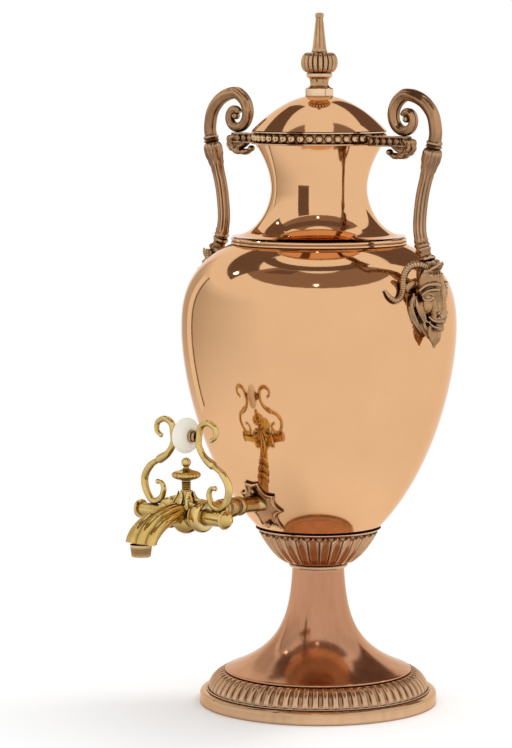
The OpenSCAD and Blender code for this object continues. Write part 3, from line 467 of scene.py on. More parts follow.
class Wiring:
    """Adds nodes to a material or a world and joins their sockets."""

    def __init__(self, owner: bpy.types.Material | bpy.types.World) -> None:
        """Starts with no node."""
        owner.use_nodes = True
        self.tree = owner.node_tree
        self.tree.nodes.clear()

    def add(self, kind: str, inputs: Mapping[str | int, Any] | None = None, **settings: Any) -> bpy.types.Node:
        """Adds a node.

        Args:
            kind: Its type, without the words that every shader node starts with.
            inputs: For each input its value, or the output that is joined to it.
            settings: The node's own settings.

        Returns:
            The new node.
        """
        node = self.tree.nodes.new("ShaderNode" + kind)
        for key, value in settings.items():
            setattr(node, key, value)
        for key, value in (inputs or {}).items():
            if isinstance(value, bpy.types.NodeSocket):
                self.tree.links.new(value, node.inputs[key])
            else:
                node.inputs[key].default_value = value
        return node

    def noise(self, place: bpy.types.NodeSocket, scale: float, detail: float,
              roughness: float = 0.5) -> bpy.types.NodeSocket:
        """A noise's height over a place."""
        return self.add("TexNoise", {"Vector": place, "Scale": scale, "Detail": detail,
                                     "Roughness": roughness}).outputs["Fac"]

    def spread(self, value: bpy.types.NodeSocket, source: Pair, target: Pair) -> bpy.types.NodeSocket:
        """Maps a value from one range to another and holds it there."""
        return self.add("MapRange", {"Value": value, "From Min": source[0], "From Max": source[1],
                                     "To Min": target[0], "To Max": target[1]}).outputs["Result"]

    def blend(self, share: bpy.types.NodeSocket, low: Any, high: Any) -> bpy.types.NodeSocket:
        """Blends two colours, each a value or an output, by a share."""
        return self.add("Mix", {"Factor": share, "A": low, "B": high}, data_type="RGBA").outputs["Result"]

    def ramp(self, value: bpy.types.NodeSocket, stops: Sequence[tuple[float, Point]],
             ease: str = "LINEAR") -> bpy.types.NodeSocket:
        """Turns a value into a colour.

        Args:
            value: The value.
            stops: Rising values, each with its colour.
            ease: How the colours run into one another.

        Returns:
            The colour.
        """
        node = self.add("ValToRGB", {"Fac": value})
        node.color_ramp.interpolation = ease
        elements = node.color_ramp.elements
        elements[0].position, elements[1].position = stops[0][0], stops[-1][0]
        for place, _ in stops[1:-1]:
            elements.new(place)
        for element, (_, colour) in zip(elements, stops):
            element.color = (*colour, 1)
        return node.outputs["Color"]


@dataclass(frozen=True)
class MetalFinish:
    """Metal or bone finish: dirt and painted shade in hollows and on down faces, painted highlight on worn ridges, fine
    marks.

    Attributes:
        name: The material's name.
        colour: The clean surface.
        shade: The colour of dirt and painted shade in the hollows and on faces that look down.
        glint: The painted highlight on ridges and small radii, partly worn metal.
        metallic: 1 for metal, 0 for bone and leather.
        roughness: Of the smoothest places.
        spread: How much rougher the dullest places are.
        hollow: How far dirt and painted shade cover the deepest hollows.
        reach: Width of the hollows that take dirt and painted shade, in millimetres.
        wave: Height of the hammer's soft waves, in millimetres.
        wave_size: Width of these waves, in millimetres.
        marks: Strength of the fine scratches.
        mottle: Strength of the cloudy patches.
        coat: Weight of a clear coat.
        grain: Cloudy patches to a metre.
        reflection_streak: How far the patches are drawn out upwards, 1 for not at all; drawn out, they are painted
            reflection streaks.
        under: How far painted shade darkens faces that look down.
        edge: Tint of the metal at a glancing angle.
    """

    name: str
    colour: Point
    shade: Point
    glint: Point
    metallic: float = 1.0
    roughness: float = 0.2
    spread: float = 0.08
    hollow: float = 1.0
    reach: float = 2.5
    wave: float = 0.0
    wave_size: float = 30.0
    marks: float = 0.15
    mottle: float = 0.25
    coat: float = 0.0
    grain: float = 42.0
    reflection_streak: float = 1.0
    under: float = 0.0
    edge: Point = (0.95, 0.80, 0.66)

    def material(self) -> bpy.types.Material:
        """Builds the finish once and returns it."""
        found = bpy.data.materials.get(self.name)
        if found:
            return found
        material = bpy.data.materials.new(self.name)
        wires = Wiring(material)
        place = wires.add("TexCoord")
        hollows = self.hollows(wires)
        shader = wires.add("BsdfPrincipled", {
            "Metallic": self.metallic, "Coat Weight": self.coat, "Specular Tint": (*self.edge, 1),
            "Base Color": self.surface(wires, place, hollows), "Roughness": self.dullness(wires, place, hollows),
            "Normal": self.relief(wires, place)})
        wires.add("OutputMaterial", {"Surface": shader.outputs["BSDF"]})
        return material

    def hollows(self, wires: Wiring) -> bpy.types.NodeSocket:
        """How much dirt and painted shade lie in a hollow, by how far its walls close it in."""
        open_share = wires.add("AmbientOcclusion", {"Distance": self.reach * MM}, samples=6).outputs["AO"]
        return wires.spread(open_share, (0.42, 0.93), (self.hollow, 0.0))

    def surface(self, wires: Wiring, place: bpy.types.Node, hollows: bpy.types.NodeSocket) -> bpy.types.NodeSocket:
        """The colour: patches, painted streaks and highlights, dirt and painted shade in hollows and on the under side.
        """
        # Random cloudy patches; drawn out upwards they become painted reflection streaks, dark and light.
        drawn_out = wires.add("Mapping", {"Vector": place.outputs["Object"], "Scale": (1.0, 1.0, self.reflection_streak)})
        cloud = wires.noise(drawn_out.outputs["Vector"], self.grain, 5.0, 0.62)
        dull = tuple(0.35 * c + 0.65 * s for c, s in zip(self.colour, self.shade))
        patches_and_painted_streaks = wires.blend(wires.spread(cloud, (0.38, 0.72), (0.0, self.mottle)), (*self.colour, 1), (*dull, 1))
        # Painted highlight: convex ridges lighten towards the glint colour, partly worn metal.
        ridges = wires.add("NewGeometry").outputs["Pointiness"]
        worn_and_highlit = wires.blend(wires.spread(ridges, (0.51, 0.60), (0.0, 1.0)), patches_and_painted_streaks, (*self.glint, 1))
        # Painted shade: faces that look down darken towards the shade colour.
        upward = wires.add("SeparateXYZ", {"Vector": place.outputs["Normal"]}).outputs["Z"]
        painted_underside_shade = wires.spread(upward, (-0.75, 0.1), (self.under, 0.0))
        # Dirt and painted shade in hollows, from ambient occlusion, joined with the painted shade on down faces.
        dirt_and_painted_shade = wires.add("Math", {0: hollows, 1: painted_underside_shade}, operation="MAXIMUM").outputs["Value"]
        return wires.blend(dirt_and_painted_shade, worn_and_highlit, (*self.shade, 1))

    def dullness(self, wires: Wiring, place: bpy.types.Node, hollows: bpy.types.NodeSocket) -> bpy.types.NodeSocket:
        """The roughness: uneven, and more where dirt lies."""
        uneven = wires.spread(wires.noise(place.outputs["Object"], 160.0, 4.0), (0.3, 0.7),
                              (self.roughness, self.roughness + self.spread))
        return wires.add("Math", {0: hollows, 1: 0.30, 2: uneven}, operation="MULTIPLY_ADD").outputs["Value"]

    def relief(self, wires: Wiring, place: bpy.types.Node) -> bpy.types.NodeSocket:
        """The small relief: fine scratches, over soft waves where the finish has them."""
        scratches = wires.noise(place.outputs["Object"], 900.0, 3.0)
        fine = wires.add("Bump", {"Strength": self.marks, "Distance": 0.04 * MM, "Height": scratches})
        if self.wave == 0:
            return fine.outputs["Normal"]
        waves = wires.noise(place.outputs["Object"], 1000.0 / self.wave_size, 1.0)
        return wires.add("Bump", {"Strength": 1.0, "Distance": self.wave * MM, "Height": waves,
                                  "Normal": fine.outputs["Normal"]}).outputs["Normal"]


# Each finish gives its clean colour, then its colour of dirt and painted shade, then its painted highlight on worn
# ridges.
POLISHED_COPPER = MetalFinish(
    "polished_copper", (0.79, 0.465, 0.245), (0.20, 0.085, 0.045), (0.84, 0.52, 0.30), roughness=0.05, spread=0.03,
    hollow=0.75, reach=2.5, wave=0.05, wave_size=44.0, marks=0.03, mottle=0.13, grain=11.0)
# Warm copper and cast bronze draw their patches out into painted reflection streaks.
WARM_COPPER = MetalFinish(
    "warm_copper", (0.58, 0.285, 0.16), (0.13, 0.050, 0.028), (0.80, 0.48, 0.30), roughness=0.13, spread=0.06,
    hollow=0.8, reach=2.5, wave=0.05, wave_size=36.0, marks=0.04, mottle=0.5, reflection_streak=0.10)
BAND_COPPER = MetalFinish(
    "band_copper", (0.60, 0.37, 0.205), (0.14, 0.07, 0.036), (0.74, 0.48, 0.29), roughness=0.12, spread=0.07,
    hollow=0.9, reach=2.5, marks=0.06, mottle=0.45, grain=30.0)
AGED_COPPER = MetalFinish(
    "aged_copper", (0.54, 0.30, 0.16), (0.035, 0.017, 0.010), (1.0, 0.80, 0.60), roughness=0.12, spread=0.07,
    reach=3.6, marks=0.07, mottle=0.45)
PLATE_COPPER = MetalFinish(
    "plate_copper", (0.48, 0.25, 0.12), (0.04, 0.020, 0.011), (0.84, 0.55, 0.32), roughness=0.15,
    reach=4.0, marks=0.08, mottle=0.5)
CAST_BRONZE = MetalFinish(
    "cast_bronze", (0.45, 0.25, 0.125), (0.050, 0.026, 0.015), (0.95, 0.68, 0.46), roughness=0.13, spread=0.10,
    reach=5.0, marks=0.1, under=0.65, mottle=0.85, grain=95.0, reflection_streak=0.25)
HEAD_BRONZE = MetalFinish(
    "head_bronze", (0.50, 0.285, 0.14), (0.030, 0.017, 0.010), (1.0, 0.82, 0.60), roughness=0.14, spread=0.10,
    reach=4.0, marks=0.1, under=0.65, mottle=0.7, grain=95.0)
GILT_BRASS = MetalFinish(
    "gilt_brass", (0.72, 0.49, 0.15), (0.055, 0.028, 0.010), (1.0, 0.84, 0.46), roughness=0.09, spread=0.07,
    reach=4.5, marks=0.06, under=0.65, mottle=0.5, grain=90.0)
SHANK_BRASS = MetalFinish(
    "shank_brass", (0.54, 0.325, 0.12), (0.050, 0.025, 0.011), (0.95, 0.70, 0.38), roughness=0.12,
    reach=5.0, marks=0.06, under=0.65, mottle=0.75, grain=90.0)
DARK_BRASS = MetalFinish(
    "dark_brass", (0.32, 0.19, 0.08), (0.040, 0.023, 0.011), (0.74, 0.54, 0.28), roughness=0.16, spread=0.1,
    reach=3.0, marks=0.08, mottle=0.6, grain=90.0)
ROSE_BRASS = MetalFinish(
    "rose_brass", (0.58, 0.35, 0.18), (0.12, 0.060, 0.032), (0.84, 0.60, 0.38), roughness=0.11,
    reach=2.0, marks=0.08, mottle=0.6, grain=90.0)
TURNED_BONE = MetalFinish(
    "turned_bone", (0.88, 0.84, 0.73), (0.46, 0.37, 0.24), (0.92, 0.89, 0.80), metallic=0.0, roughness=0.36,
    spread=0.16, hollow=0.7, reach=2.0, marks=0.12, coat=0.15, edge=(1.0, 1.0, 1.0))
ROUGH_IRON = MetalFinish(
    "rough_iron", (0.10, 0.095, 0.09), (0.025, 0.02, 0.018), (0.20, 0.19, 0.18), metallic=0.8, roughness=0.55,
    spread=0.25, hollow=0.8, reach=3.0, marks=0.9, mottle=0.5)
PACKING_LEATHER = MetalFinish(
    "packing_leather", (0.16, 0.085, 0.045), (0.05, 0.03, 0.02), (0.24, 0.14, 0.08), metallic=0.0, roughness=0.6,
    spread=0.2, hollow=0.6, reach=2.0, marks=0.8, mottle=0.5, edge=(1.0, 1.0, 1.0))


def show(form: Form, name: str, body: Body, slot: Slot, finish: MetalFinish, *stands_for: str,
         crease: float = 40.0) -> bpy.types.Object:
    """Makes a piece of the scene from a form.

    Args:
        form: The piece in millimetres.
        name: Its name.
        body: The moving group it rides on.
        slot: The record's material slot; not used.
        finish: The finish it gets.
        stands_for: CAD nodes that it takes the place of.
        crease: Edges sharper than this many degrees stay sharp.

    Returns:
        The new object.
    """
    mesh = form.mesh(name)
    mesh.materials.append(finish.material())
    mesh.shade_smooth()
    mesh.set_sharp_from_angle(angle=math.radians(crease))
    piece = bpy.data.objects.new(name, mesh)
    bpy.context.scene.collection.objects.link(piece)
    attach(piece, body.value)
    if stands_for:
        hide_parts(*stands_for)
    log.info("%s: %d faces on %s", name, len(mesh.polygons), body.value)
    return piece


def dress(node: str, finish: MetalFinish, crease: float = 40.0) -> None:
    """Gives a CAD node its finish and smooth shading."""
    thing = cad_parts[node]
    thing.data.materials.clear()
    thing.data.materials.append(finish.material())
    thing.data.shade_smooth()
    thing.data.set_sharp_from_angle(angle=math.radians(crease))
    log.info("%s: CAD node in %s", node, finish.name)


# Sub-assemblies


@dataclass
class Foot:
    """Base ring, gadrooned ring, trumpet foot and stem collar."""

    gadroons: int = 68
    groove: float = 2.6
    tongue_share: float = 0.66
    wire_r: float = 0.62
    lip_r: float = 0.9
    wall: float = 1.8

    def gadroon_ring(self) -> Form:
        """Rounded tongues with dark grooves between them, and a wire at their outer ends."""
        per, rows = 12, 14
        out, low, top = SIZES.gadroon_r, SIZES.gadroon_z, SIZES.gadroon_z + SIZES.gadroon_h
        outline = [(out - 0.9, low)]
        for k in range(rows + 1):
            a = math.radians(90 * k / rows)
            outline.append((out - 0.2 - 0.97 * (out - SIZES.disc_r) * (1 - math.cos(a)) ** 0.82,
                            low + 0.8 + (SIZES.gadroon_h - 0.8) * math.sin(a)))
        outline += [(SIZES.disc_r - 3, top), (SIZES.disc_r + 4.5, low)]

        def swell(f: float, i: int) -> float:
            t = (i - 1) / rows
            if not 0 <= t <= 1:
                return 0.0
            tongue = max(0.0, 1 - (off_middle(f, self.gadroons) / self.tongue_share) ** 2.4) ** 0.55
            ends = min(1.0, (t + 0.03) / 0.14, (1.02 - t) / 0.12)
            return -self.groove * (1 - tongue * max(ends, 0.0) ** 0.6) * (0.35 + 0.65 * step(t, 0.0, 0.2))

        ring = Form().lathe(outline, self.gadroons * per, swell)
        return ring.lathe(arc((out + 0.15, low + 0.45), self.wire_r, 0, 330, 9), ROUND)

    def trumpet(self) -> Form:
        """The polished foot with a rolled lip round its disc."""
        low = SIZES.disc_z + 1.75
        lip = arc((SIZES.disc_r - self.lip_r, SIZES.disc_z + self.lip_r), self.lip_r, -90, 80, 8)
        heights = [low + (SIZES.foot_top - low) * (k / 90) ** 1.6 for k in range(3, 91)]
        top = [(SIZES.foot_r(z), z) for z in heights]
        inner = [(r - self.wall, z) for r, z in reversed(top) if z > SIZES.disc_z + 4]
        return Form().lathe(lip + top + inner + [(SIZES.disc_r - 4, SIZES.disc_z)], ROUND)

    def build(self) -> None:
        """Makes the foot's pieces."""
        show(self.gadroon_ring(), "gadroons", Body.URN, Slot.BRONZE, AGED_COPPER, "gadroon_ring")
        show(self.trumpet(), "trumpet_foot", Body.URN, Slot.COPPER, WARM_COPPER, "foot")
        dress("base_ring", BAND_COPPER)
        dress("stem_collar", AGED_COPPER)


@dataclass
class Vessel:
    """Calyx, bowl, shoulder mouldings, neck and beaded rim."""

    lobes: int = 30
    beads: int = 44
    bead_r: float = 3.3
    wall: float = 1.5
    neck_wall: float = 1.4
    bore_r: float = 49.2
    lip: float = 1.1
    lobe_top: float = 0.885
    lobe_round: float = 0.13

    def calyx(self) -> Form:
        """Dished lobes with raised borders and round tops, under a thin flared lip."""
        per, rows = 20, 44
        z0, h = SIZES.calyx_z, SIZES.calyx_h
        foot_r, rim_r = SIZES.collar_r + 1.3, SIZES.bowl_r(z0 + h) + self.lip

        def radius(s: float) -> float:
            return foot_r + (rim_r - foot_r) * s ** 0.62

        shares = [0.915 * k / rows for k in range(rows + 1)]
        outline = [(radius(s), z0 + s * h) for s in shares]
        outline += [(radius(s) + out, z0 + t * h)
                    for s, out, t in ((0.93, -0.55, 0.925), (0.945, -0.1, 0.94), (0.965, 0.35, 0.965), (1, 0.8, 0.985))]
        outline += [(rim_r + 0.75, z0 + h - 0.05), (rim_r - 0.95, z0 + h)]
        outline += [(radius(s) - 3.0, z0 + s * h) for s in (0.9, 0.45)] + [(14.0, z0 + 2.5), (14.0, z0)]

        def swell(f: float, i: int) -> float:
            if i > rows:
                return 0.0
            over = max((shares[i] - self.lobe_top) / self.lobe_round + 1, 0.0)
            edge = off_middle(f, self.lobes) / max(math.sqrt(max(0.0, 1 - over ** 2)), 0.02)
            if edge > 0.93:
                return -1.3
            border = 0.38 * bump(edge, 0.73, 0.15)
            dish = -0.7 * (1 - min(edge / 0.64, 1.0) ** 2) * step(shares[i], 0.0, 0.25)
            return border + dish - 1.3 * step(edge, 0.82, 0.92)

        return Form().lathe(outline, self.lobes * per, swell)

    def bowl(self) -> Form:
        """The raised and planished bowl with its wall, closed at the bottom."""
        middle, hole = SIZES.belly_z, 0.4
        heights = [middle - (middle - SIZES.bowl_z) * math.cos(math.radians(90 * k / 80)) ** 0.9 for k in range(81)]
        heights += [middle + (SIZES.mouth_z - middle) * math.sin(math.radians(90 * k / 40)) for k in range(1, 41)]
        outer = [(max(SIZES.bowl_r(z), hole), z) for z in heights]
        inner = [(r - self.wall, min(max(z, SIZES.bowl_z + self.wall), SIZES.mouth_z))
                 for r, z in reversed(outer) if r > self.wall + 0.5]
        return Form().lathe(outer + inner + [(hole, inner[-1][1])], 320)

    def neck(self) -> Form:
        """The waisted neck with its wall."""
        drop = SIZES.neck_drop
        heights = [SIZES.waist_z - drop * math.sin(math.radians(90 * k / 50)) for k in range(50, 0, -1)]
        heights += [SIZES.waist_z + SIZES.neck_rise * k / 36 for k in range(37)]
        outer = [(SIZES.neck_outer(z), z) for z in heights]
        inner = [(r - self.neck_wall, z) for r, z in reversed(outer) if z > SIZES.waist_z - drop + 0.8]
        return Form().lathe(outer + inner + [(outer[0][0] - 0.3, outer[0][1] - 0.05)], ROUND)

    def rim(self) -> Form:
        """Two thin flanges with beads on a band between them, and none where a clasp's tongue starts."""
        r, z, top = SIZES.bead_ring_r, SIZES.rim_z, SIZES.rim_top
        low_flange = [(r + q, z + h) for q, h in ((1.4, 0), (2.5, 0.35), (2.5, 1.0), (1.4, 1.5), (-0.4, 2.2))]
        top_flange = [(r + q, top - h) for q, h in ((-0.4, 2.4), (1.2, 1.8), (2.5, 1.3), (2.5, 0.4), (1.8, 0))]
        form = Form().lathe([(self.bore_r, z), *low_flange, *top_flange, (self.bore_r, top)], ROUND)
        for k in range(self.beads):
            if k % (self.beads // 2) == 0:
                continue
            a = 2 * math.pi * k / self.beads
            form.ball(((r - 0.2) * math.cos(a), (r - 0.2) * math.sin(a), (z + top) / 2 - 0.05), (self.bead_r,) * 3,
                      parts=10)
        return form

    def build(self) -> None:
        """Makes the vessel's pieces."""
        show(self.calyx(), "calyx", Body.URN, Slot.COPPER, AGED_COPPER, "calyx_cup", crease=60)
        show(self.bowl(), "bowl", Body.URN, Slot.COPPER, POLISHED_COPPER, "bowl_shell", "shoulder_shell",
             crease=50)
        show(self.neck(), "neck", Body.URN, Slot.COPPER, POLISHED_COPPER, "neck_shell", crease=50)
        show(self.rim(), "rim", Body.URN, Slot.BRASS, ROSE_BRASS, "beaded_rim")
        for node, finish in (("shoulder_ring", POLISHED_COPPER), ("head_screws", GILT_BRASS),
                             ("heater_well", POLISHED_COPPER), ("well_cover", POLISHED_COPPER),
                             ("cover_knob", GILT_BRASS), ("heater_slug", ROUGH_IRON), ("slug_eye", ROUGH_IRON)):
            dress(node, finish)


@dataclass
class Lid:
    """Domed lid, sleeve and finial."""

    ball_r: float = 14.9
    ball_h: float = 16.0
    ball_z: float = 514.4
    bore_r: float = 2.2
    wall: float = 1.3
    ball_lobes: int = 20
    spire_flutes: int = 8

    def dome(self) -> Form:
        """The polished dome with its wall."""
        r0 = SIZES.lid_r
        outer = [(r0 - 0.3, SIZES.lid_z)]
        outer += [(r0 * (1 - k / 70), SIZES.lid_height(r0 * (1 - k / 70))) for k in range(68)]
        outer += [(self.bore_r, SIZES.lid_height(self.bore_r))]
        inner = [(r, z - self.wall) for r, z in reversed(outer) if self.bore_r - 0.1 < r < r0 - 3.2]
        return Form().lathe(outer + inner + [(r0 - 3, SIZES.lid_z)], ROUND)

    def gadrooned_ball(self) -> Form:
        """Full lobes with deep grooves between two flat faces."""
        per, rows = 16, 24
        flat = 0.64 * self.ball_r
        angles = [math.radians(-90 + 180 * k / rows) for k in range(rows + 1)]
        outline = [(flat + (self.ball_r - flat) * math.cos(a),
                    self.ball_z + self.ball_h * (1 + math.sin(a)) / 2) for a in angles]
        outline += [(self.bore_r, outline[-1][1]), (self.bore_r, outline[0][1])]

        def swell(f: float, i: int) -> float:
            if i > rows:
                return 0.0
            return -2.5 * (1 - math.sqrt(max(0.0, 1 - min(off_middle(f, self.ball_lobes), 0.985) ** 2)))

        return Form().lathe(outline, self.ball_lobes * per, swell)

    def spire(self) -> Form:
        """A straight fluted spike with a small round cap."""
        z = self.ball_z + self.ball_h + 0.1
        shape = [(0.0, 5.9), (0.4, 6.4), (1.2, 6.4), (1.9, 6.0), (9.0, 5.15), (18.0, 4.1), (27.0, 3.1),
                 (27.8, 3.05), (28.3, 3.4), (30.4, 3.4), (31.2, 3.0), (31.8, 1.2)]
        outline = [(max(float(r), 0.3), z + float(h)) for h, r in smooth_curve(shape, 3)]
        outline += [(0.25, outline[-1][1]), (0.25, z)]

        def swell(f: float, i: int) -> float:
            h = outline[i][1] - z
            deep = 0.95 * step(h, 1.8, 2.8) * (1 - step(h, 27.0, 28.0)) * min(1.0, outline[i][0] / 5)
            return deep * (round_lobe(f, self.spire_flutes, 0.8) - 1)

        return Form().lathe(outline, 160, swell)

    def build(self) -> None:
        """Makes the lid's pieces."""
        show(self.dome(), "dome", Body.LID, Slot.COPPER, POLISHED_COPPER, "lid_dome", crease=50)
        show(self.gadrooned_ball(), "gadrooned_ball", Body.LID, Slot.BRASS, ROSE_BRASS, "finial_ball")
        show(self.spire(), "fluted_spire", Body.LID, Slot.BRASS, ROSE_BRASS, "finial_spire")
        dress("finial_base", ROSE_BRASS, 30)
        dress("finial_stud", GILT_BRASS)
        dress("finial_nut", GILT_BRASS)
        dress("lid_sleeve", POLISHED_COPPER)


@dataclass
class Handle:
    """One reeded handle with its sheath of leaves, clasp, foot and ram head."""

    side: Side
    reach: float = 120.4
    waist: float = 104.9
    tube_r: float = 5.2
    eye_x: float = 91.0
    eye_z: float = 478.3
    scroll_r: float = 19.0
    coil_r: float = 5.2
    fade: float = 0.0066
    turn: float = 410.0
    low: Pair = (108.0, 377.0)
    clasp_top: float = 464.66
    clasp_start: float = 54.9
    head_x: float = 112.5
    head_z: float = 367.1
    reeds: int = 10
    leaves: int = 5
    horn_ribs: int = 30

    def scroll(self, angle: float) -> Point:
        """A point of the volute at an angle in degrees."""
        t = angle - 90
        r = (self.scroll_r - self.coil_r) * math.exp(-self.fade * t) + self.coil_r * (1 - (t / 520) ** 4)
        a = math.radians(angle)
        return (self.eye_x + r * math.cos(a), 0.0, self.eye_z + r * math.sin(a))

    def path(self, steps: int) -> np.ndarray:
        """Centre line from the foot's ring over the arch into the volute."""
        arch_z = self.eye_z - 8
        shaft = arch_z - self.low[1]
        sway = self.reach - self.waist
        knots = [(self.waist + sway * k[1], 0.0, self.low[1] + shaft * k[0])
                 for k in ((0, 0.2), (0.18, 0), (0.42, 0.14), (0.62, 0.46), (0.8, 0.8), (0.92, 0.97), (1, 1))]
        for a in (25, 50, 72):
            t = math.radians(a)
            knots.append((self.eye_x + (self.reach - self.eye_x) * math.cos(t), 0.0,
                          arch_z + (self.eye_z + self.scroll_r - arch_z) * math.sin(t)))
        knots += [self.scroll(a) for a in np.linspace(90, 90 + self.turn, 29)]
        return smooth_curve(knots, steps)

    def shaft_radius(self, z: float, f: float) -> float:
        """Radius of the shaft at a height and share of a turn: reeds, rings and two rows of leaves."""
        groove = 0.15 * (1 - round_lobe(f, self.reeds, 0.75))
        r = self.tube_r * (1 - groove * step(z, 382.0, 384.0) * (1 - step(z, 437.0, 441.0)))
        r += 1.25 * bump(z, 379.4, 2.0) + 0.9 * bump(z, 382.4, 1.5)
        r += 1.5 * bump(z, 457.2, 1.7) + 1.5 * bump(z, 460.1, 1.8) - 0.5 * bump(z, 455.3, 1.2)
        r += float(np.interp(z, (437.0, 442.0, 447.0, 452.0, 454.4, 455.6), (0.0, 0.7, 2.1, 2.3, 1.7, 0.0)))
        u = abs(2 * ((f * self.leaves) % 1.0) - 1)
        tip = 433.5 + 15 * u ** 1.3
        leaf = step(z, tip, tip + 1.0) * (1 - step(z, 454.6, 455.6))
        rim = bump(z - tip, 2.0, 2.2) * leaf
        r += leaf * (0.35 - 0.55 * bump(u, 1.0, 0.16) + 0.28 * bump(u, 0.0, 0.12)) + 0.35 * rim
        v = abs(2 * ((f * self.leaves + 0.5) % 1.0) - 1)
        low_tip = 429.0 + 11 * v ** 1.3
        r += 0.3 * step(z, low_tip, low_tip + 1.0) * (1 - step(z, 436.0, 444.0))
        return r

    def rod(self) -> Form:
        """The reeded shaft and the arch with soft channels, and the volute's eye."""
        steps = 9
        path = self.path(steps)
        height, share = path[:, 2], shares_along(path)
        coil_start = share[10 * steps]

        def size(s: float, f: float) -> float:
            i = min(int(np.searchsorted(share, s - 1e-9)), len(path) - 1)
            channel = 0.085 * (1 - round_lobe(f, 6, 0.7, 0.5))
            if i <= 6 * steps:
                return self.shaft_radius(float(height[i]), f) * (1 - channel * step(height[i], 461.5, 464.0))
            over = max((s - coil_start) / (1 - coil_start), 0.0)
            thin = float(np.interp(over, (0, 0.3, 0.55, 0.75, 0.92, 1.0), (1, 0.96, 0.82, 0.74, 0.67, 0.56)))
            return self.tube_r * thin * (1 - channel)

        form = Form().tube(path, size, 60, across=(0, 1, 0))
        form.ball((self.eye_x + 0.2, 0.0, self.eye_z), (3.0, 3.9, 3.0), parts=12)
        for s in (-1, 1):
            form.ball((self.eye_x + 0.2, s * 3.7, self.eye_z), (1.1, 0.9, 1.1), parts=8)
        return form

    def clasp(self) -> Form:
        """Bracket that holds the volute on the rim: a beaded tongue and a leaf that curls back under it."""
        eye, top, x0 = self.eye_x, self.clasp_top, self.clasp_start
        form = Form()
        for low, high, half in ((8.3, 0.0, 3.7), (8.3, 7.1, 6.1), (1.2, 0.0, 6.1)):
            edge = [(x0, 0.75 * half), (x0 + 2, half), (eye - 2, half), (eye + 3, half / 2)]
            bar = [(x, -y) for x, y in edge] + edge[::-1]
            form.skin([[(x, y, top - z) for x, y in bar] for z in (low, high)])
        for k in range(5):
            for s in (-1, 1):
                form.ball((58.4 + 6.6 * k, s * 4.2, top - 4.15), (2.9, 2.3, 2.8), parts=10)
        knots = ((-3, -2.5, 2.0), (3.6, -4.6, 2.9), (5.2, -9.0, 2.5), (2.4, -12.6, 3.1), (-1.2, -14.7, 2.4),
                 (-4.4, -15.5, 3.0), (-8, -15.9, 2.2), (-11.5, -15.6, 2.6), (-15, -14.4, 1.9))
        thick = sizes_along([k[2] for k in knots], 5)
        form.tube(self.under_arch(knots, 0, 5), lambda s, f: thick(s), 24, flat=(1.9, 1.0), across=(0, 1, 0))
        for x, z, r, half in ((4.4, -5.3, 3.5, 5.2), (2.3, -12.2, 3.3, 5.0), (-4.2, -15.2, 2.9, 4.8),
                              (-10.6, -15.6, 2.5, 4.4)):
            roll = np.array([(eye + x, y, top + z) for y in np.linspace(-half, half, 9)])
            form.tube(roll, lambda s, f, r=r: r * (1 - (2 * s - 1) ** 6 * 0.5), 20)
        form.ball((eye - 17.0, 0.0, top - 12.8), (2.6, 3.4, 2.6), parts=12)
        form.tube(self.under_arch(((-12.6, -7.9), (-7, -10.2), (-1, -12.8)), 0, 6),
                  lambda s, f: 1.9 + 0.9 * math.sin(math.pi * s), 16, flat=(1.7, 1.0), across=(0, 1, 0))
        form.ball((eye - 3, 0, top - 9.0), (6.4, 3.6, 4.6), parts=12)
        form = cast(form, 0.42, 2)
        strokes = []
        for s in (-1, 1):
            for groove in (((-13, -7.0), (-7, -9.4), (0, -10.4), (4.6, -8.9)),
                           ((-11, -11.0), (-5, -12.6), (-1.0, -15.6)),
                           ((-2, -4.6), (0.6, -7.4), (4.8, -8.9)),
                           ((-7.4, -12.4), (-7.6, -15), (-7.8, -18.4))):
                strokes.append((self.under_arch(groove, 5.4 * s, 6), 1.5, 0.8))
            ridge = [(eye - 8, s * 3.4, top - 8.4), (eye - 1, s * 4.6, top - 7.0), (eye + 3.4, s * 5.6, top - 4.4)]
            strokes.append((smooth_curve(ridge, 6), 0.9, -0.6))
        return chase(form, strokes)

    def under_arch(self, knots: Sequence[Sequence[float]], y: float, steps: int) -> np.ndarray:
        """A curve through places given from the volute's eye and the clasp's top, as (outward, up)."""
        return smooth_curve([(self.eye_x + k[0], y, self.clasp_top + k[1]) for k in knots], steps)

    def head_point(self, p: Sequence[float], mirror: float = 1.0) -> Point:
        """A point given from the top of the head, as (outward, across, up)."""
        return (self.head_x + p[0], mirror * p[1], self.head_z + p[2])

    def head_curve(self, knots: Sequence[Sequence[float]], mirror: float = 1.0, steps: int = 6) -> np.ndarray:
        """A smooth curve through points given from the top of the head."""
        return smooth_curve([self.head_point(k, mirror) for k in knots], steps)

    def lock(self, form: Form, knots: Sequence[Sequence[float]], radii: Sequence[float], mirror: float) -> None:
        """Adds one lock of hair: a tapering curved strand."""
        width = sizes_along(radii, 5)
        form.tube(self.head_curve(knots, mirror, 5), lambda s, f: width(s), 10)

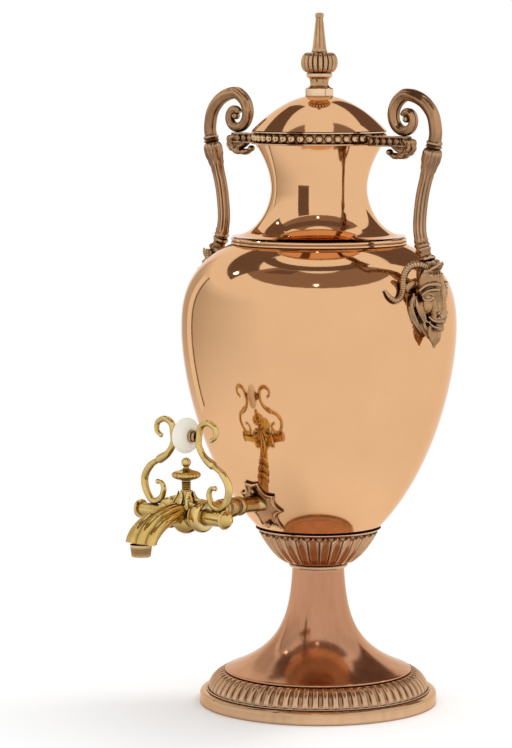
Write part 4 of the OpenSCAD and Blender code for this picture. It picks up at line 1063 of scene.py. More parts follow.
    def ram_head(self) -> Form:
        """The cast head: skull, muzzle, brows, eyes, ears, ribbed horns, wool, tuft, side locks and beard."""
        form = Form()
        spine = ((-5, 0, -5.5), (-3, 0, -8), (1.2, 0, -12), (3.2, 0, -19), (5.0, 0, -26), (8.2, 0, -34),
                 (11.2, 0, -41), (12.6, 0, -47), (12.2, 0, -51))
        across = sizes_along((6, 10, 12.0, 11.8, 10.2, 7.8, 6.4, 6.0, 3.2), 6)
        deep = sizes_along((4.5, 8.6, 12.0, 12.8, 12.6, 10.0, 7.9, 6.4, 3.2), 6)
        form.tube(self.head_curve(spine), lambda s, f: oval(across(s), deep(s), f), 32, across=(0, 1, 0))
        nose = ((12.4, 0, -12), (16.0, 0, -20), (17.0, 0, -28), (17.6, 0, -36), (18.0, 0, -42))
        form.tube(self.head_curve(nose), lambda s, f: 2.0 + 0.3 * math.sin(math.pi * s), 16)
        form.ball(self.head_point((15.6, 0, -42.5)), (4.2, 4.6, 3.4), None, 12)
        form.ball(self.head_point((13.2, 0, -52.0)), (3.6, 4.2, 2.6), Matrix.Rotation(math.radians(20), 3, "Y"), 12)
        for m in (-1, 1):
            self.half_head(form, m)
        for k in range(9):
            u = (k - 4) / 4
            forelock = [(6.5, 5.5 * u, -7), (10.5, 3.8 * u, -4.4), (13.8, 2.2 * u, -1.8),
                        (15.8 + 0.5 * u, 1.2 * u, 0.9 - 2.6 * abs(u))]
            self.lock(form, forelock, (1.4, 1.7, 1.2, 0.4), 1)
        for k in range(9):
            u, sway = (k - 4) / 4, 1.1 * math.sin(1.9 * k)
            beard = [(9.0 - abs(u), 4.8 * u, -50), (9.4 - 1.5 * abs(u), 5.8 * u, -55.5), (8.6, 3.9 * u + sway, -62),
                     (7.4, 1.6 * u + 0.5 * sway, -68.6 + 3.0 * abs(u))]
            self.lock(form, beard, (1.7, 2.0, 1.5, 0.5), 1)
        form.tube(np.array([self.head_point((0, 0, -9)), self.head_point((-1.0, 0, -0.4))]), lambda s, f: 7.6, 28)
        form = cast(form, 0.45, 1)
        return clear_of_bowl(self.chased_head(form), 0.15)

    def horn(self, form: Form, m: float) -> None:
        """Adds one horn, ribbed like a rope, that runs over the brow and curls up at its end."""
        knots = ((4, 5, -4), (1, 11, -2), (-3.5, 15.5, -3), (-6.8, 18.3, -8), (-8, 19.4, -15), (-6.7, 21.6, -22),
                 (-5.4, 26.4, -27.6), (-6.6, 31.2, -29.4), (-9.3, 35.2, -26), (-12.4, 36.6, -20.8))
        thick = sizes_along((2.5, 2.7, 2.9, 2.8, 2.6, 2.5, 2.4, 2.1, 1.7, 0.8), 8)

        def ribbed(s: float, f: float) -> float:
            return thick(s) * (1 + 0.15 * math.sin(2 * math.pi * (self.horn_ribs * s + m * f)) * (1 - 0.6 * s))

        form.tube(self.head_curve(knots, m, 14), ribbed, 18)

    def ridges(self, form: Form, m: float, sides: int,
               table: Sequence[tuple[Sequence[Point], float, float]]) -> None:
        """Adds round ridges, each given by its knots and its first and last radius."""
        for knots, first, last in table:
            form.tube(self.head_curve(knots, m), lambda s, f, a=first, b=last: a + (b - a) * s, sides)

    def half_head(self, form: Form, m: float) -> None:
        """Adds the pieces of one half of the head."""
        self.horn(form, m)
        ear = self.head_curve(((-2, 11.5, -16), (-3, 15, -17.5), (-4, 17.4, -20.5), (-4.5, 17.8, -24)), m)
        form.tube(ear, lambda s, f: 3.0 * math.sin(math.pi * min(0.16 + 0.82 * s, 1.0)) ** 0.7 + 0.3, 18,
                  flat=(0.6, 1.0), across=(1, 0, 0.3))
        self.ridges(form, m, 14, (
            (((15.2, 2.6, -18.4), (13.8, 7.0, -17.0), (9.0, 11.2, -18.0), (3.6, 13.2, -22.4)), 2.2, 1.3),
            (((15.6, 3.4, -22.0), (13.8, 7.6, -21.2), (9.6, 11.0, -22.6), (5.4, 12.6, -26.0)), 1.6, 1.0),
            (((12.8, 6.6, -26.4), (11.4, 9.2, -24.6), (8.4, 11.4, -25.2), (5.4, 12.0, -27.6)), 0.95, 0.7),
            (((12.8, 6.6, -27.2), (11.0, 9.0, -29.6), (8.0, 10.8, -29.8), (5.4, 11.6, -28.2)), 0.9, 0.7)))
        form.ball(self.head_point((8.6, 9.2, -27.2), m), (2.5, 2.4, 2.1), None, 12)
        form.ball(self.head_point((6.4, 7.6, -34.0), m), (5.6, 4.4, 6.6),
                  Matrix.Rotation(math.radians(-18), 3, "Y"), 12)
        nostril = [(16.0 + r * math.cos(a), 4.4 + 0.25 * r, -42.4 + r * math.sin(a))
                   for a, r in ((math.radians(60 + 40 * k), 2.9 - 0.27 * k) for k in range(9))]
        form.tube(self.head_curve(nostril, m, 4), lambda s, f: 1.05 - 0.45 * s, 10)
        self.ridges(form, m, 12, (
            (((17.4, 0, -46.4), (15.6, 3.6, -46.6), (12.2, 6.2, -45.6), (8.2, 7.2, -42.6)), 1.5, 0.9),
            (((15.2, 0, -51.6), (13.8, 3.2, -51.4), (10.8, 5.4, -50.0), (7.8, 6.4, -46.6)), 1.5, 0.9),
            (((12.6, 5.4, -38.0), (9.4, 7.4, -37.0), (7.6, 8.4, -40.0)), 0.9, 0.6)))
        for knots, radii in (
                (((-3, 12, -25), (-2.6, 15.4, -32), (-1.4, 15.6, -39), (0.4, 12.8, -46), (1.6, 9.6, -51)),
                 (1.4, 2.1, 2.1, 1.6, 0.5)),
                (((-3.6, 12.5, -27), (-3.6, 16.2, -35), (-2.6, 15.6, -43), (-0.9, 11.6, -50), (0.5, 7.5, -56)),
                 (1.5, 2.1, 2.1, 1.6, 0.5)),
                (((-1, 12.0, -27), (1.4, 13.6, -33), (3.0, 12.0, -40), (4.2, 8.8, -46), (5.4, 6.6, -52)),
                 (1.2, 1.8, 1.8, 1.4, 0.5)),
                (((1, 11.4, -30), (3.8, 11.4, -36), (5.4, 9.2, -42), (6.8, 6.6, -48)), (1.1, 1.6, 1.5, 0.5)),
                (((-4.4, 11.0, -30), (-4.6, 14.2, -38), (-3.2, 13.2, -46), (-1.0, 9.4, -53)), (1.4, 2.0, 1.7, 0.5)),
                (((-2, 8.0, -42), (0, 8.6, -49), (3, 5.8, -56), (5.0, 3.4, -61)), (1.5, 2.0, 1.6, 0.5)),
                (((2, 7.4, -44), (4, 7.2, -50), (6, 5.0, -56), (6.8, 3.2, -63)), (1.4, 1.8, 1.4, 0.5))):
            self.lock(form, knots, radii, m)
        for row, (out, up, wide, count) in enumerate(((3.0, -4.6, 9.5, 4), (8.0, -6.6, 9.0, 4), (11.4, -10.4, 8.0, 3),
                                                      (13.4, -14.6, 5.4, 2))):
            for k in range(count):
                y = wide * (k + 0.5) / count
                place = self.head_point((out - 0.055 * y * y, y, up - 0.5 * (k % 2)), m)
                form.ball(place, (2.0, 1.5, 1.6), Matrix.Rotation(0.7 * (k + row), 3, "X"), 8)

    def chased_head(self, form: Form) -> Form:
        """Cuts the mouth, nostrils, eye corners and hair lines into the head."""
        strokes: list[tuple[np.ndarray, float, float]] = []

        def line(points: Sequence[Point], m: float, width: float, depth: float) -> None:
            strokes.append((self.head_curve(points, m), width, depth))

        for m in (-1, 1):
            line([(18.4, 0, -49.0), (15.4, 4.2, -49.0), (11.0, 6.6, -47.8), (7.2, 8.0, -44.4)], m, 1.2, 1.8)
            line([(17.6, 4.4, -42.6), (16.2, 5.4, -41.8), (15.0, 5.6, -42.8)], m, 1.1, 1.5)
            line([(13.0, 6.2, -27.0), (14.2, 5.0, -31.0), (15.2, 4.6, -36.0)], m, 1.4, 0.8)
            line([(9.8, 9.6, -26.4), (9.4, 10.8, -27.6)], m, 0.6, 0.5)
            line([(16.6, 2.6, -22), (17.4, 2.6, -30), (17.8, 2.6, -37)], m, 0.9, 0.5)
            line([(4.0, 12.6, -30), (7.2, 10.8, -35), (8.4, 9.4, -40)], m, 0.9, 0.7)
            line([(12.6, 9.4, -19.4), (8.6, 12.2, -20.6), (4.4, 13.6, -24.4)], m, 0.8, 0.8)
            for k in range(5):
                line([(-2 + 1.2 * k, 17.2 - 1.3 * k, -31 - 1.2 * k), (-0.6 + 1.3 * k, 16.2 - 1.8 * k, -40 - k),
                      (1.2 + 1.2 * k, 12.4 - 1.6 * k, -48 - k)], m, 0.6, 0.6)
        for k in range(5):
            u = (k - 2) / 2
            line([(12.8, 2.2 * u, -0.4), (11.0, 3.4 * u, -5.0), (13.6, 3.0 * u, -9.0)], 1, 0.55, 0.5)
            line([(13.0, 3.2 * u, -55), (11.6, 2.6 * u, -60), (9.0, 1.4 * u, -66)], 1, 0.6, 0.6)
        return chase(form, strokes)

    def build(self) -> None:
        """Makes one side's pieces."""
        tag = self.side.tag()
        for form, name, finish, node, crease in (
                (self.rod(), "reeded_handle", CAST_BRONZE, "handle", 40),
                (self.clasp(), "leaf_clasp", CAST_BRONZE, "handle_clasp", 80),
                (self.ram_head(), "ram", HEAD_BRONZE, "ram_head", 80)):
            show(form.mirrored(self.side), f"{name}_{tag}", Body.URN, Slot.BRONZE, finish, f"{node}_{tag}",
                 crease=crease)
        dress(f"handle_foot_{tag}", CAST_BRONZE, 30)


def along_x(form: Form, y: float, z: float) -> Form:
    """Lays a form that stands on Z along X at a place."""
    return form.moved(Matrix.Translation((0, y, z)) @ Matrix.Rotation(math.radians(90), 4, "Y"))


@dataclass
class Tap:
    """Escutcheon, shank, body with boss and lobed spout, and nozzle."""

    barrel_r: float = 10.9
    barrel_half: float = 21.6
    plug_hole: float = 6.75
    belly_drop: float = 14.9
    boss_h: float = 18.6
    boss_leaves: int = 6
    screw_hole: float = 3.86
    tail_len: float = 33.5
    tail_r: float = 6.86
    spout_run: float = 50.5
    spout_drop: float = 17.5
    spout_w: float = 13.6
    spout_lobes: int = 7
    plate_z: float = 169.5
    plate_w: float = 19.5
    plate_h: float = 20.0
    shank_r: float = 7.0
    shank_end: float = 116.0

    def along_tap(self, form: Form) -> Form:
        """Lays a form that stands on Z along the tap's axis."""
        return form.moved(Matrix.Translation((0, 0, SIZES.tap_z)) @ Matrix.Rotation(math.radians(90), 4, "X"))

    def plate_outline(self, parts: int) -> list[Pair]:
        """The cartouche's outline: hollow edges between its points."""
        half = [(0.55, -1.0), (1.0, -0.18), (0.92, 0.49), (0.35, 1.0)]
        corners = [(x * self.plate_w, y * self.plate_h) for x, y in half]
        corners += [(-x, y) for x, y in reversed(corners)]
        outline = []
        for i, a in enumerate(corners):
            b = corners[(i + 1) % len(corners)]
            deep = 0.09 if i % 4 == 3 else 0.27
            dx, dy = b[0] - a[0], b[1] - a[1]
            for k in range(parts):
                t = k / parts
                d = deep * math.sin(math.pi * t)
                outline.append((a[0] + dx * t - d * dy, a[1] + dy * t + d * dx))
        return outline

    def plate(self) -> Form:
        """Plate that follows the bowl, with a raised border, a sunk line, and a small boss near its lower end."""
        outline = self.plate_outline(14)
        layers = ((1.0, 0.25), (1.0, 2.0), (0.985, 2.5), (0.93, 2.78), (0.875, 2.6), (0.84, 1.75), (0.80, 1.6),
                  (0.77, 1.95), (0.70, 2.1), (0.55, 2.15), (0.42, 2.2))
        rings = []
        for scale, lift in layers:
            ring = []
            for x, v in outline:
                px, pz = x * scale, self.plate_z + v * scale
                r = SIZES.bowl_r(pz) + lift
                ring.append((px, -math.sqrt(max(r * r - px * px, 0.0)), pz))
            rings.append(ring)
        form = Form().skin(rings)
        z = self.plate_z - 0.8 * self.plate_h
        line = [(x, -(SIZES.bowl_r(z) + 2.75), z) for x in np.linspace(-5, 5, 9)]
        return form.tube(np.array(line), lambda s, f: 0.45 * math.sin(math.pi * min(0.08 + 0.84 * s, 1)), 10)

    def shank(self) -> Form:
        """Turned baluster between the plate and the tap's body."""
        start = SIZES.bowl_r(SIZES.tap_z) - 16
        out = SIZES.bowl_r(SIZES.tap_z + self.shank_r) + 3.1
        shape = [(0.02, start), (self.shank_r, start), (self.shank_r, out)]
        knots = ((0.0, 0.98), (0.2, 0.93), (0.385, 0.89), (0.40, 0.95), (0.42, 1.05), (0.475, 1.11), (0.53, 1.05),
                 (0.55, 0.86), (0.57, 0.79), (0.595, 0.84), (0.62, 1.04), (0.67, 1.14), (0.72, 1.16), (0.77, 1.14),
                 (0.82, 1.03), (0.845, 0.86), (0.865, 0.81), (0.885, 0.9), (0.91, 1.04), (0.94, 1.12),
                 (0.97, 1.08), (1.0, 0.97))
        curve = smooth_curve([(out + 0.2 + (self.shank_end - out - 0.2) * t, r * self.shank_r) for t, r in knots], 3)
        shape += [(float(r), float(h)) for h, r in curve] + [(0.02, self.shank_end)]
        return self.along_tap(Form().lathe(shape, 72))

    def barrel(self) -> Form:
        """The cross barrel with its round collars, the tail towards the shank and the belly under it."""
        r, half = self.barrel_r, self.barrel_half
        side = [(0.86, 1.0), (0.98, 0.985), (1.06, 0.95), (1.115, 0.89), (1.13, 0.81), (1.125, 0.73), (1.09, 0.665),
                (1.03, 0.62), (0.97, 0.595), (0.95, 0.575), (1.0, 0.555), (1.01, 0.535), (0.96, 0.515), (0.93, 0.49)]
        shape = [(self.plug_hole, -half)] + [(q * r, -z * half) for q, z in side]
        shape += [(q * r, z * half) for q, z in reversed(side)] + [(self.plug_hole, half)]
        form = along_x(Form().lathe(shape, 96), -SIZES.tap_reach, SIZES.tap_z)
        turning = ((0, 0), (1, 0), (1.07, 0.02), (1.14, 0.06), (1.07, 0.1), (0.97, 0.12), (0.97, 0.6), (1.25, 0.98))
        tail = [(max(q * self.tail_r, 0.02), self.shank_end + 0.1 + t * self.tail_len) for q, t in turning]
        form.join(self.along_tap(Form().lathe(tail + [(0.02, tail[-1][1])], 64)))
        belly = smooth_curve([(0.03, -1.0), (0.28, -0.975), (0.64, -0.84), (0.9, -0.62), (1.04, -0.38),
                              (1.08, -0.06)], 5)
        bowl = [(float(q) * r, SIZES.tap_z + float(h) * self.belly_drop) for q, h in belly]
        form.join(Form().lathe(bowl + [(0.3, SIZES.tap_z)], 72).moved(Matrix.Translation((0, -SIZES.tap_reach, 0))))
        return form

    def boss(self) -> Form:
        """The cone that holds the tension screw, wrapped in pointed leaves whose tips splay."""
        z, r = SIZES.tap_z, self.barrel_r
        shape = smooth_curve([(1.02, 0.12), (0.98, 0.33), (0.82, 0.52), (0.63, 0.68), (0.53, 0.84), (0.50, 0.96),
                              (0.48, 1.0)], 6)
        outline = [(float(q) * r, z + float(h) * self.boss_h) for q, h in shape]
        rows = len(outline)
        outline += [(self.screw_hole, z + self.boss_h), (self.screw_hole, z + 8), (0.5, z + 2)]

        def swell(f: float, i: int) -> float:
            if i >= rows:
                return 0.0
            h = outline[i][1] - z
            x = off_middle(f, self.boss_leaves)
            tip = 15.5 - 8.5 * x ** 1.7
            leaf = 1 - step(h, tip - 0.7, tip)
            blade = 1.25 - 0.6 * bump(x, 0.0, 0.14) + 0.4 * bump(x, 0.4, 0.22) - 0.9 * step(x, 0.84, 1.0)
            return leaf * blade - 0.4 * (1 - leaf)

        form = Form().lathe(outline, 144, swell)
        for k in range(self.boss_leaves):
            a = 2 * math.pi * (k + 0.5) / self.boss_leaves
            c, s = math.cos(a), math.sin(a)
            vein = smooth_curve([(q * c, q * s, z + h) for q, h in (
                (12.0, 3), (11.2, 7), (8.9, 11.5), (6.7, 15.5), (6.2, 18.6))], 6)
            form.tube(vein, lambda t, f: 3.4 * math.sin(math.pi * min(0.16 + 0.80 * t, 1.0)) ** 0.8 + 0.2, 14,
                      flat=(1.0, 0.36), across=(-s, c, 0))
        return form.moved(Matrix.Translation((0, -SIZES.tap_reach, 0)))

    def leaves(self) -> Form:
        """Leaves that run from the boss over the barrel towards its collars and the spout."""
        form = Form()
        y, z, r = -SIZES.tap_reach, SIZES.tap_z, self.barrel_r
        for s in (-1, 1):
            for dy, spread in ((-6.5, -1.6), (0.0, 0.0), (6.0, 1.6)):
                up = math.sqrt(r * r - dy * dy)
                leaf = [(s * x, y + dy * inward + spread * turn, z + up + lift)
                        for x, inward, turn, lift in ((6.4, 0.6, 0, 1.6), (9.6, 1, 0, 0.4), (14.0, 1, 1, 0.6),
                                                      (17.5, 1, 1.5, 1.5))]
                form.tube(smooth_curve(leaf, 6), lambda t, f: 2.9 * math.sin(math.pi * min(0.2 + 0.78 * t, 1.0)) + 0.2,
                          14, flat=(0.5, 1.0), across=(0, 1, 0))
        return form

    def spout(self) -> Form:
        """The swan spout: broad lobes fan out over its top and end in a scalloped lip, over a smooth throat."""
        knots = ((-0.04, 0.09), (0.2, 0.17), (0.44, 0.09), (0.72, -0.17), (0.9, -0.52), (0.98, -0.8), (1.0, -1.0))
        path = smooth_curve([(0.0, -SIZES.tap_reach - p * self.spout_run, SIZES.tap_z + q * self.spout_drop)
                             for p, q in knots], 10)
        across = sizes_along([v * self.spout_w for v in (0.62, 0.66, 0.72, 0.81, 0.9, 0.96, 1.0)], 10)
        deep = sizes_along([v * self.spout_w for v in (0.54, 0.55, 0.57, 0.61, 0.68, 0.72, 0.74)], 10)

        def size(s: float, f: float) -> float:
            groove = 0.21 * (1 - round_lobe(f, self.spout_lobes, 0.8, 0.5)) * step(s, 0.04, 0.4)
            on_top = 1 - step(-math.sin(2 * math.pi * f), 0.1, 0.5)
            return oval(across(s), deep(s), f) * (1 - groove * on_top)

        form = Form().tube(path, size, 160, across=(1, 0, 0))
        floor = SIZES.tap_z - self.spout_drop
        form.points = [(x, y, max(z, floor)) for x, y, z in form.points]
        return form

    def build(self) -> None:
        """Makes the tap's fixed pieces."""
        show(self.plate(), "cartouche_plate", Body.URN, Slot.COPPER, PLATE_COPPER, "escutcheon", crease=50)
        show(self.shank(), "baluster_shank", Body.URN, Slot.BRASS, SHANK_BRASS, "tap_shank")
        for form, name in ((self.barrel(), "barrel"), (self.boss(), "leaf_boss"), (self.leaves(), "barrel_leaves"),
                           (self.spout(), "lobed_spout")):
            show(form, name, Body.URN, Slot.BRASS, GILT_BRASS, "tap_body")
        dress("escutcheon_rivets", PLATE_COPPER)
        dress("tap_saddle", PACKING_LEATHER)
        dress("spout_nozzle", DARK_BRASS, 30)


@dataclass
class Lever:
    """The part that turns: plug, crossbar ends, lyre arms, grip bead; and the screw on the boss."""

    grip_rise: float = 62.0
    strand_x: float = 13.7
    reach: float = 31.1
    low: float = 7.6
    arm_r: float = 2.6
    boss_top: float = 190.7
    screw_r: float = 3.78
    screw_z: float = 181.45
    groove_pitch: float = 1.4
    mushroom_gap: float = 8.4
    mushroom_r: float = 11.4
    mushroom_h: float = 8.8
    mushroom_lobes: int = 12
    ball_r: float = 3.8

    def arm(self) -> Form:
        """One lyre arm with a leaf step at its shoulder and curled ends."""
        knots = ((0.434, 0.97, 0.62), (0.566, 1.03, 0.75), (0.539, 1.148, 0.85), (0.296, 1.21, 0.95),
                 (0.059, 1.148, 1.0), (0, 1, 1.0), (0, 0.871, 1.0), (0.171, 0.723, 1.05), (0.447, 0.624, 1.35),
                 (0.789, 0.513, 1.1), (1, 0.336, 1.15), (0.967, 0.159, 1.1), (0.789, 0.02, 1.0), (0.605, 0, 1.0),
                 (0.414, 0.066, 0.95), (0.342, 0.192, 0.85), (0.414, 0.277, 0.7), (0.539, 0.288, 0.62))
        centres = [(self.strand_x + a * self.reach, -SIZES.tap_reach,
                    SIZES.tap_z + self.low + b * (self.grip_rise - self.low)) for a, b, _ in knots]
        path = smooth_curve(centres, 8)
        radius = sizes_along([self.arm_r * k[2] for k in knots], 8)
        share, index = shares_along(path), np.arange(len(path)) / (len(path) - 1)

        def size(s: float, f: float) -> float:
            k = float(np.interp(s, share, index))
            knot, r = k * (len(knots) - 1), radius(k)
            if 8.0 < knot < 8.9:
                r *= 1.0 - 0.30 * step(knot, 8.12, 8.22) * (1 - 0.5 * step(knot, 8.3, 8.9))
            return r * (1 + 0.06 * abs(math.cos(2 * math.pi * f)) ** 6)

        form = Form().tube(path, size, 20, across=(0, 1, 0))
        for centre, r in ((centres[0], 2.0), (centres[-1], 2.1)):
            form.ball(centre, (r, r, r), parts=10)
        return form

    def screw(self) -> Form:
        """Threaded stem, lobed mushroom and ball."""
        r, z = self.screw_r, self.boss_top + self.mushroom_gap
        stem = [(0.02, self.screw_z), (r, self.screw_z), (r, self.boss_top + 0.6)]
        for k in range(5):
            h = self.boss_top + 0.9 + self.groove_pitch * k
            stem += [(r, h), (r - 0.6, h + self.groove_pitch / 2), (r, h + self.groove_pitch - 0.1)]
        stem += [(r, z + 0.2), (0.02, z + 0.4)]
        form = Form().lathe(stem, 48)
        cap = smooth_curve([(0.36, 0), (0.5, 0.04), (0.84, 0.2), (0.98, 0.38), (1.0, 0.5), (0.97, 0.62), (0.82, 0.76),
                            (0.5, 0.87), (0.28, 1.0), (0.19, 1.13), (0.17, 1.3)], 5)
        outline = [(float(r) * self.mushroom_r, z + float(h) * self.mushroom_h) for r, h in cap]
        outline += [(0.02, outline[-1][1]), (0.02, z)]

        def swell(f: float, i: int) -> float:
            x = off_middle(f, self.mushroom_lobes)
            return -(1 - math.sqrt(max(0.0, 1 - 0.9 * x * x))) * step(outline[i][0], 4.0, 10.0)

        form.lathe(outline, 144, swell)
        form.ball((0, 0, z + self.mushroom_h + 1.4 + self.ball_r), (self.ball_r,) * 3, parts=16)
        return form.moved(Matrix.Translation((0, -SIZES.tap_reach, 0)))

    def build(self) -> None:
        """Makes the lever's pieces and the screw."""
        for side in Side:
            show(self.arm().mirrored(side), f"lyre_{side.tag()}", Body.LEVER, Slot.BRASS, GILT_BRASS,
                 f"lyre_arm_{side.tag()}")
        show(self.screw(), "screw_and_head", Body.SCREW, Slot.BRASS, GILT_BRASS, "screw_stem", "tension_screw")
        for node in ("tap_plug", "crossbar_flange", "crossbar_knob"):
            dress(node, GILT_BRASS, 30)
        dress("bead_spindle", DARK_BRASS, 30)
        dress("grip_bead", TURNED_BONE, 60)
        dress("packing_pad", PACKING_LEATHER)


# Studio


class Card(Enum):
    """The cards round the urn that only reflections see, with the light that each gives back."""

    SHADE = (0.60, 0.58, 0.56)
    ROOM = (0.17, 0.115, 0.095)
    DUSK = (0.30, 0.21, 0.17)
    PAPER = (1.0, 1.0, 1.0)
    LAMP = (9.0, 8.6, 8.2)


@dataclass
class Studio:
    """Floor, backdrop, lamps, reflection cards and the camera at the photograph's angle."""

    azimuth: float = 41.0
    distance: float = 2479.0
    height: float = 530.1
    pitch: float = 5.99
    yaw: float = 1.18
    lens: float = 147.3
    middle: float = 280.0
    room_light: float = 0.97
    floor_colour: float = 0.96
    floor_near: float = 0.11
    floor_far: float = 0.33

    def camera(self) -> None:
        """Places the camera."""
        a = math.radians(self.azimuth)
        data = bpy.data.cameras.new("camera")
        data.lens = self.lens
        data.sensor_width = 36.0
        data.clip_end = 50.0
        camera = bpy.data.objects.new("camera", data)
        camera.location = Vector((math.sin(a) * self.distance, -math.cos(a) * self.distance, self.height)) * MM
        heading = a + math.radians(self.yaw)
        down = math.radians(self.pitch)
        look = Vector((-math.sin(heading) * math.cos(down), math.cos(heading) * math.cos(down), -math.sin(down)))
        camera.rotation_mode = "QUATERNION"
        camera.rotation_quaternion = look.to_track_quat("-Z", "Y")
        bpy.context.scene.collection.objects.link(camera)
        bpy.context.scene.camera = camera

    def glow(self, name: str, colour: Point) -> bpy.types.Material:
        """An even surface that gives one level of light."""
        found = bpy.data.materials.get(name)
        if found:
            return found
        material = bpy.data.materials.new(name)
        wires = Wiring(material)
        light = wires.add("Emission", {"Color": (*colour, 1), "Strength": 1.0})
        wires.add("OutputMaterial", {"Surface": light.outputs["Emission"]})
        return material

    def around(self, azimuth: float, elevation: float, distance: float) -> Point:
        """A place round the urn's middle, by the camera's own angles."""
        a, e = math.radians(azimuth), math.radians(elevation)
        return (distance * math.cos(e) * math.sin(a), -distance * math.cos(e) * math.cos(a),
                self.middle + distance * math.sin(e))

    def card(self, name: str, kind: Card, azimuths: tuple[float, float], elevations: tuple[float, float],
             distance: float) -> None:
        """A curved card round the urn.

        Args:
            name: The card's name.
            kind: The light it gives back.
            azimuths: Its two side edges, in degrees round the urn.
            elevations: Its lower and upper edge, in degrees.
            distance: How far it stands from the urn's middle.
        """
        parts = 12
        form = Form()
        for i in range(parts + 1):
            azimuth = azimuths[0] + (azimuths[1] - azimuths[0]) * i / parts
            for j in range(parts + 1):
                elevation = elevations[0] + (elevations[1] - elevations[0]) * j / parts
                form.points.append(self.around(azimuth, elevation, distance))
        for i in range(parts):
            for j in range(parts):
                a = i * (parts + 1) + j
                form.faces.append((a, a + 1, a + parts + 2, a + parts + 1))
        self.hang(form, name, kind)

    def hang(self, form: Form, name: str, kind: Card) -> None:
        """Makes a card that only reflections see."""
        mesh = bpy.data.meshes.new(name)
        mesh.from_pydata([[c * MM for c in p] for p in form.points], [], form.faces)
        mesh.materials.append(self.glow(f"card_{kind.name.lower()}", kind.value))
        card = bpy.data.objects.new(name, mesh)
        bpy.context.scene.collection.objects.link(card)
        card.visible_camera = False
        card.visible_shadow = False
        card.visible_diffuse = False
        card.visible_transmission = False

    def flag(self, name: str, azimuths: tuple[float, float], edges: Outline) -> None:
        """A dark strip close to the neck, which only the neck mirrors.

        Args:
            name: The strip's name.
            azimuths: Its two ends, in degrees round the urn from the camera's side.
            edges: Radius and height of its two long edges.
        """
        parts = 16
        form = Form()
        for i in range(parts + 1):
            a = math.radians(self.azimuth + azimuths[0] + (azimuths[1] - azimuths[0]) * i / parts)
            form.points += [(r * math.sin(a), -r * math.cos(a), z) for r, z in edges]
        form.faces = [(2 * i, 2 * i + 1, 2 * i + 3, 2 * i + 2) for i in range(parts)]
        self.hang(form, name, Card.ROOM)

    def screen(self) -> None:
        """A tall dim screen on the far left that pales towards the front."""
        self.card("screen_left", Card.SHADE, (self.azimuth - 150, self.azimuth - 40), (-29, 31), 480)
        wires = Wiring(bpy.data.materials["card_shade"])
        place = wires.add("TexCoord").outputs["Object"]
        dark, white, black = Card.SHADE.value, (1.0, 1.0, 1.0), (0.0, 0.0, 0.0)
        turn = wires.add("TexGradient", {"Vector": place}, gradient_type="RADIAL").outputs["Color"]
        level = wires.ramp(turn, ((0.0, dark), (0.045, dark), (0.2528, white), (0.5, white), (0.84, (0.9, 0.9, 0.9)),
                                  (0.93, dark), (1.0, dark)))
        upward = wires.add("SeparateXYZ", {"Vector": place}).outputs["Z"]
        height = wires.ramp(upward, ((0.02, black), (0.30, white), (0.44, white), (0.56, black)), "EASE")
        light = wires.add("Emission", {"Color": wires.blend(height, (*white, 1), level), "Strength": 1.0})
        wires.add("OutputMaterial", {"Surface": light.outputs["Emission"]})

    def lamp(self, name: str, centre: Point, size: tuple[float, float], power: float) -> None:
        """A soft box that faces the middle of the urn and isn't mirrored in the metal."""
        data = bpy.data.lights.new(name, "AREA")
        data.shape = "RECTANGLE"
        data.size, data.size_y = size[0] * MM, size[1] * MM
        data.energy = power
        box = bpy.data.objects.new(name, data)
        box.location = Vector(centre) * MM
        box.rotation_mode = "QUATERNION"
        box.rotation_quaternion = (Vector((0, 0, self.middle * MM)) - box.location).to_track_quat("-Z", "Y")
        box.visible_glossy = False
        bpy.context.scene.collection.objects.link(box)

    def world(self) -> None:
        """A world that is white to the eye and in reflections, and soft light otherwise."""
        world = bpy.data.worlds.new("studio")
        wires = Wiring(world)
        seen = wires.add("Background", {"Color": (1, 1, 1, 1), "Strength": 1.0})
        soft = wires.add("Background", {"Color": (1, 1, 1, 1), "Strength": self.room_light})
        path = wires.add("LightPath").outputs
        either = wires.add("Math", {0: path["Is Camera Ray"], 1: path["Is Glossy Ray"]}, operation="MAXIMUM")
        whole = wires.add("Math", {0: either.outputs["Value"], 1: path["Is Transmission Ray"]}, operation="MAXIMUM")
        mix = wires.add("MixShader", {"Fac": whole.outputs["Value"], 1: soft.outputs["Background"],
                                      2: seen.outputs["Background"]})
        wires.add("OutputWorld", {"Surface": mix.outputs["Shader"]})
        bpy.context.scene.world = world

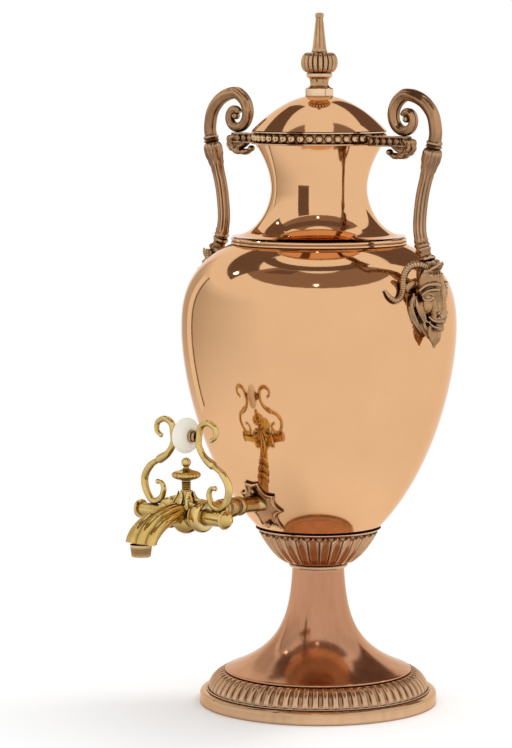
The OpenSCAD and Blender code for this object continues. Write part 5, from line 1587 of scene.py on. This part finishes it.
    def paper(self) -> bpy.types.Material:
        """White paper that takes the urn's shadow near it and runs into the white of the room."""
        material = bpy.data.materials.new("white_paper")
        wires = Wiring(material)
        near = wires.add("BsdfDiffuse", {"Color": (self.floor_colour, self.floor_colour, self.floor_colour, 1)})
        far = wires.add("Emission", {"Color": (1, 1, 1, 1)})
        length = wires.add("VectorMath", {0: wires.add("TexCoord").outputs["Object"]}, operation="LENGTH")
        share = wires.add("MapRange", {"Value": length.outputs["Value"], "From Min": self.floor_near,
                                       "From Max": self.floor_far}, interpolation_type="SMOOTHSTEP")
        mix = wires.add("MixShader", {"Fac": share.outputs["Result"], 1: near.outputs["BSDF"],
                                      2: far.outputs["Emission"]})
        wires.add("OutputMaterial", {"Surface": mix.outputs["Shader"]})
        return material

    def floor(self) -> None:
        """A wide white floor."""
        mesh = bpy.data.meshes.new("floor")
        half = 6.0
        mesh.from_pydata([(-half, -half, 0), (half, -half, 0), (half, half, 0), (-half, half, 0)], [], [(0, 1, 2, 3)])
        mesh.materials.append(self.paper())
        floor = bpy.data.objects.new("floor", mesh)
        floor.location = (0, 0, -0.0002)
        bpy.context.scene.collection.objects.link(floor)

    def build(self) -> None:
        """Sets up the studio."""
        bpy.context.scene.view_settings.view_transform = "Standard"
        self.camera()
        self.world()
        self.floor()
        self.screen()
        front = self.azimuth
        for name, kind, sides, heights, distance in (
                ("room_left", Card.ROOM, (-160, -104), (40, 60), 1600),
                ("room_right", Card.ROOM, (130, 168), (20, 52), 1600),
                ("room_front", Card.DUSK, (-104, 112), (52, 78), 1600),
                ("door_edge", Card.ROOM, (-119.5, -117), (-20, 31), 440),
                ("door_gap", Card.PAPER, (-129, -119.5), (-20, 29), 440),
                ("spot_left", Card.LAMP, (-114.2, -109.8), (44.5, 47.5), 1400),
                ("spot_front", Card.LAMP, (-5.2, -0.8), (55.5, 58.5), 1400)):
            self.card(name, kind, (front + sides[0], front + sides[1]), heights, distance)
        self.flag("flag_left", (-42, -20), ((108, 408), (108, 478)))
        self.flag("flag_over", (-95, 75), ((80, 518), (108, 518)))
        self.lamp("key", self.around(front + 125, 52, 1700), (420, 420), 9)


# Output


def main() -> None:
    """Builds every sub-assembly."""
    logging.basicConfig(level=logging.INFO, format="%(message)s")
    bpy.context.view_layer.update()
    Studio().build()
    Foot().build()
    Vessel().build()
    Lid().build()
    for side in Side:
        Handle(side).build()
    Tap().build()
    Lever().build()


if __name__ == "__main__":
    main()
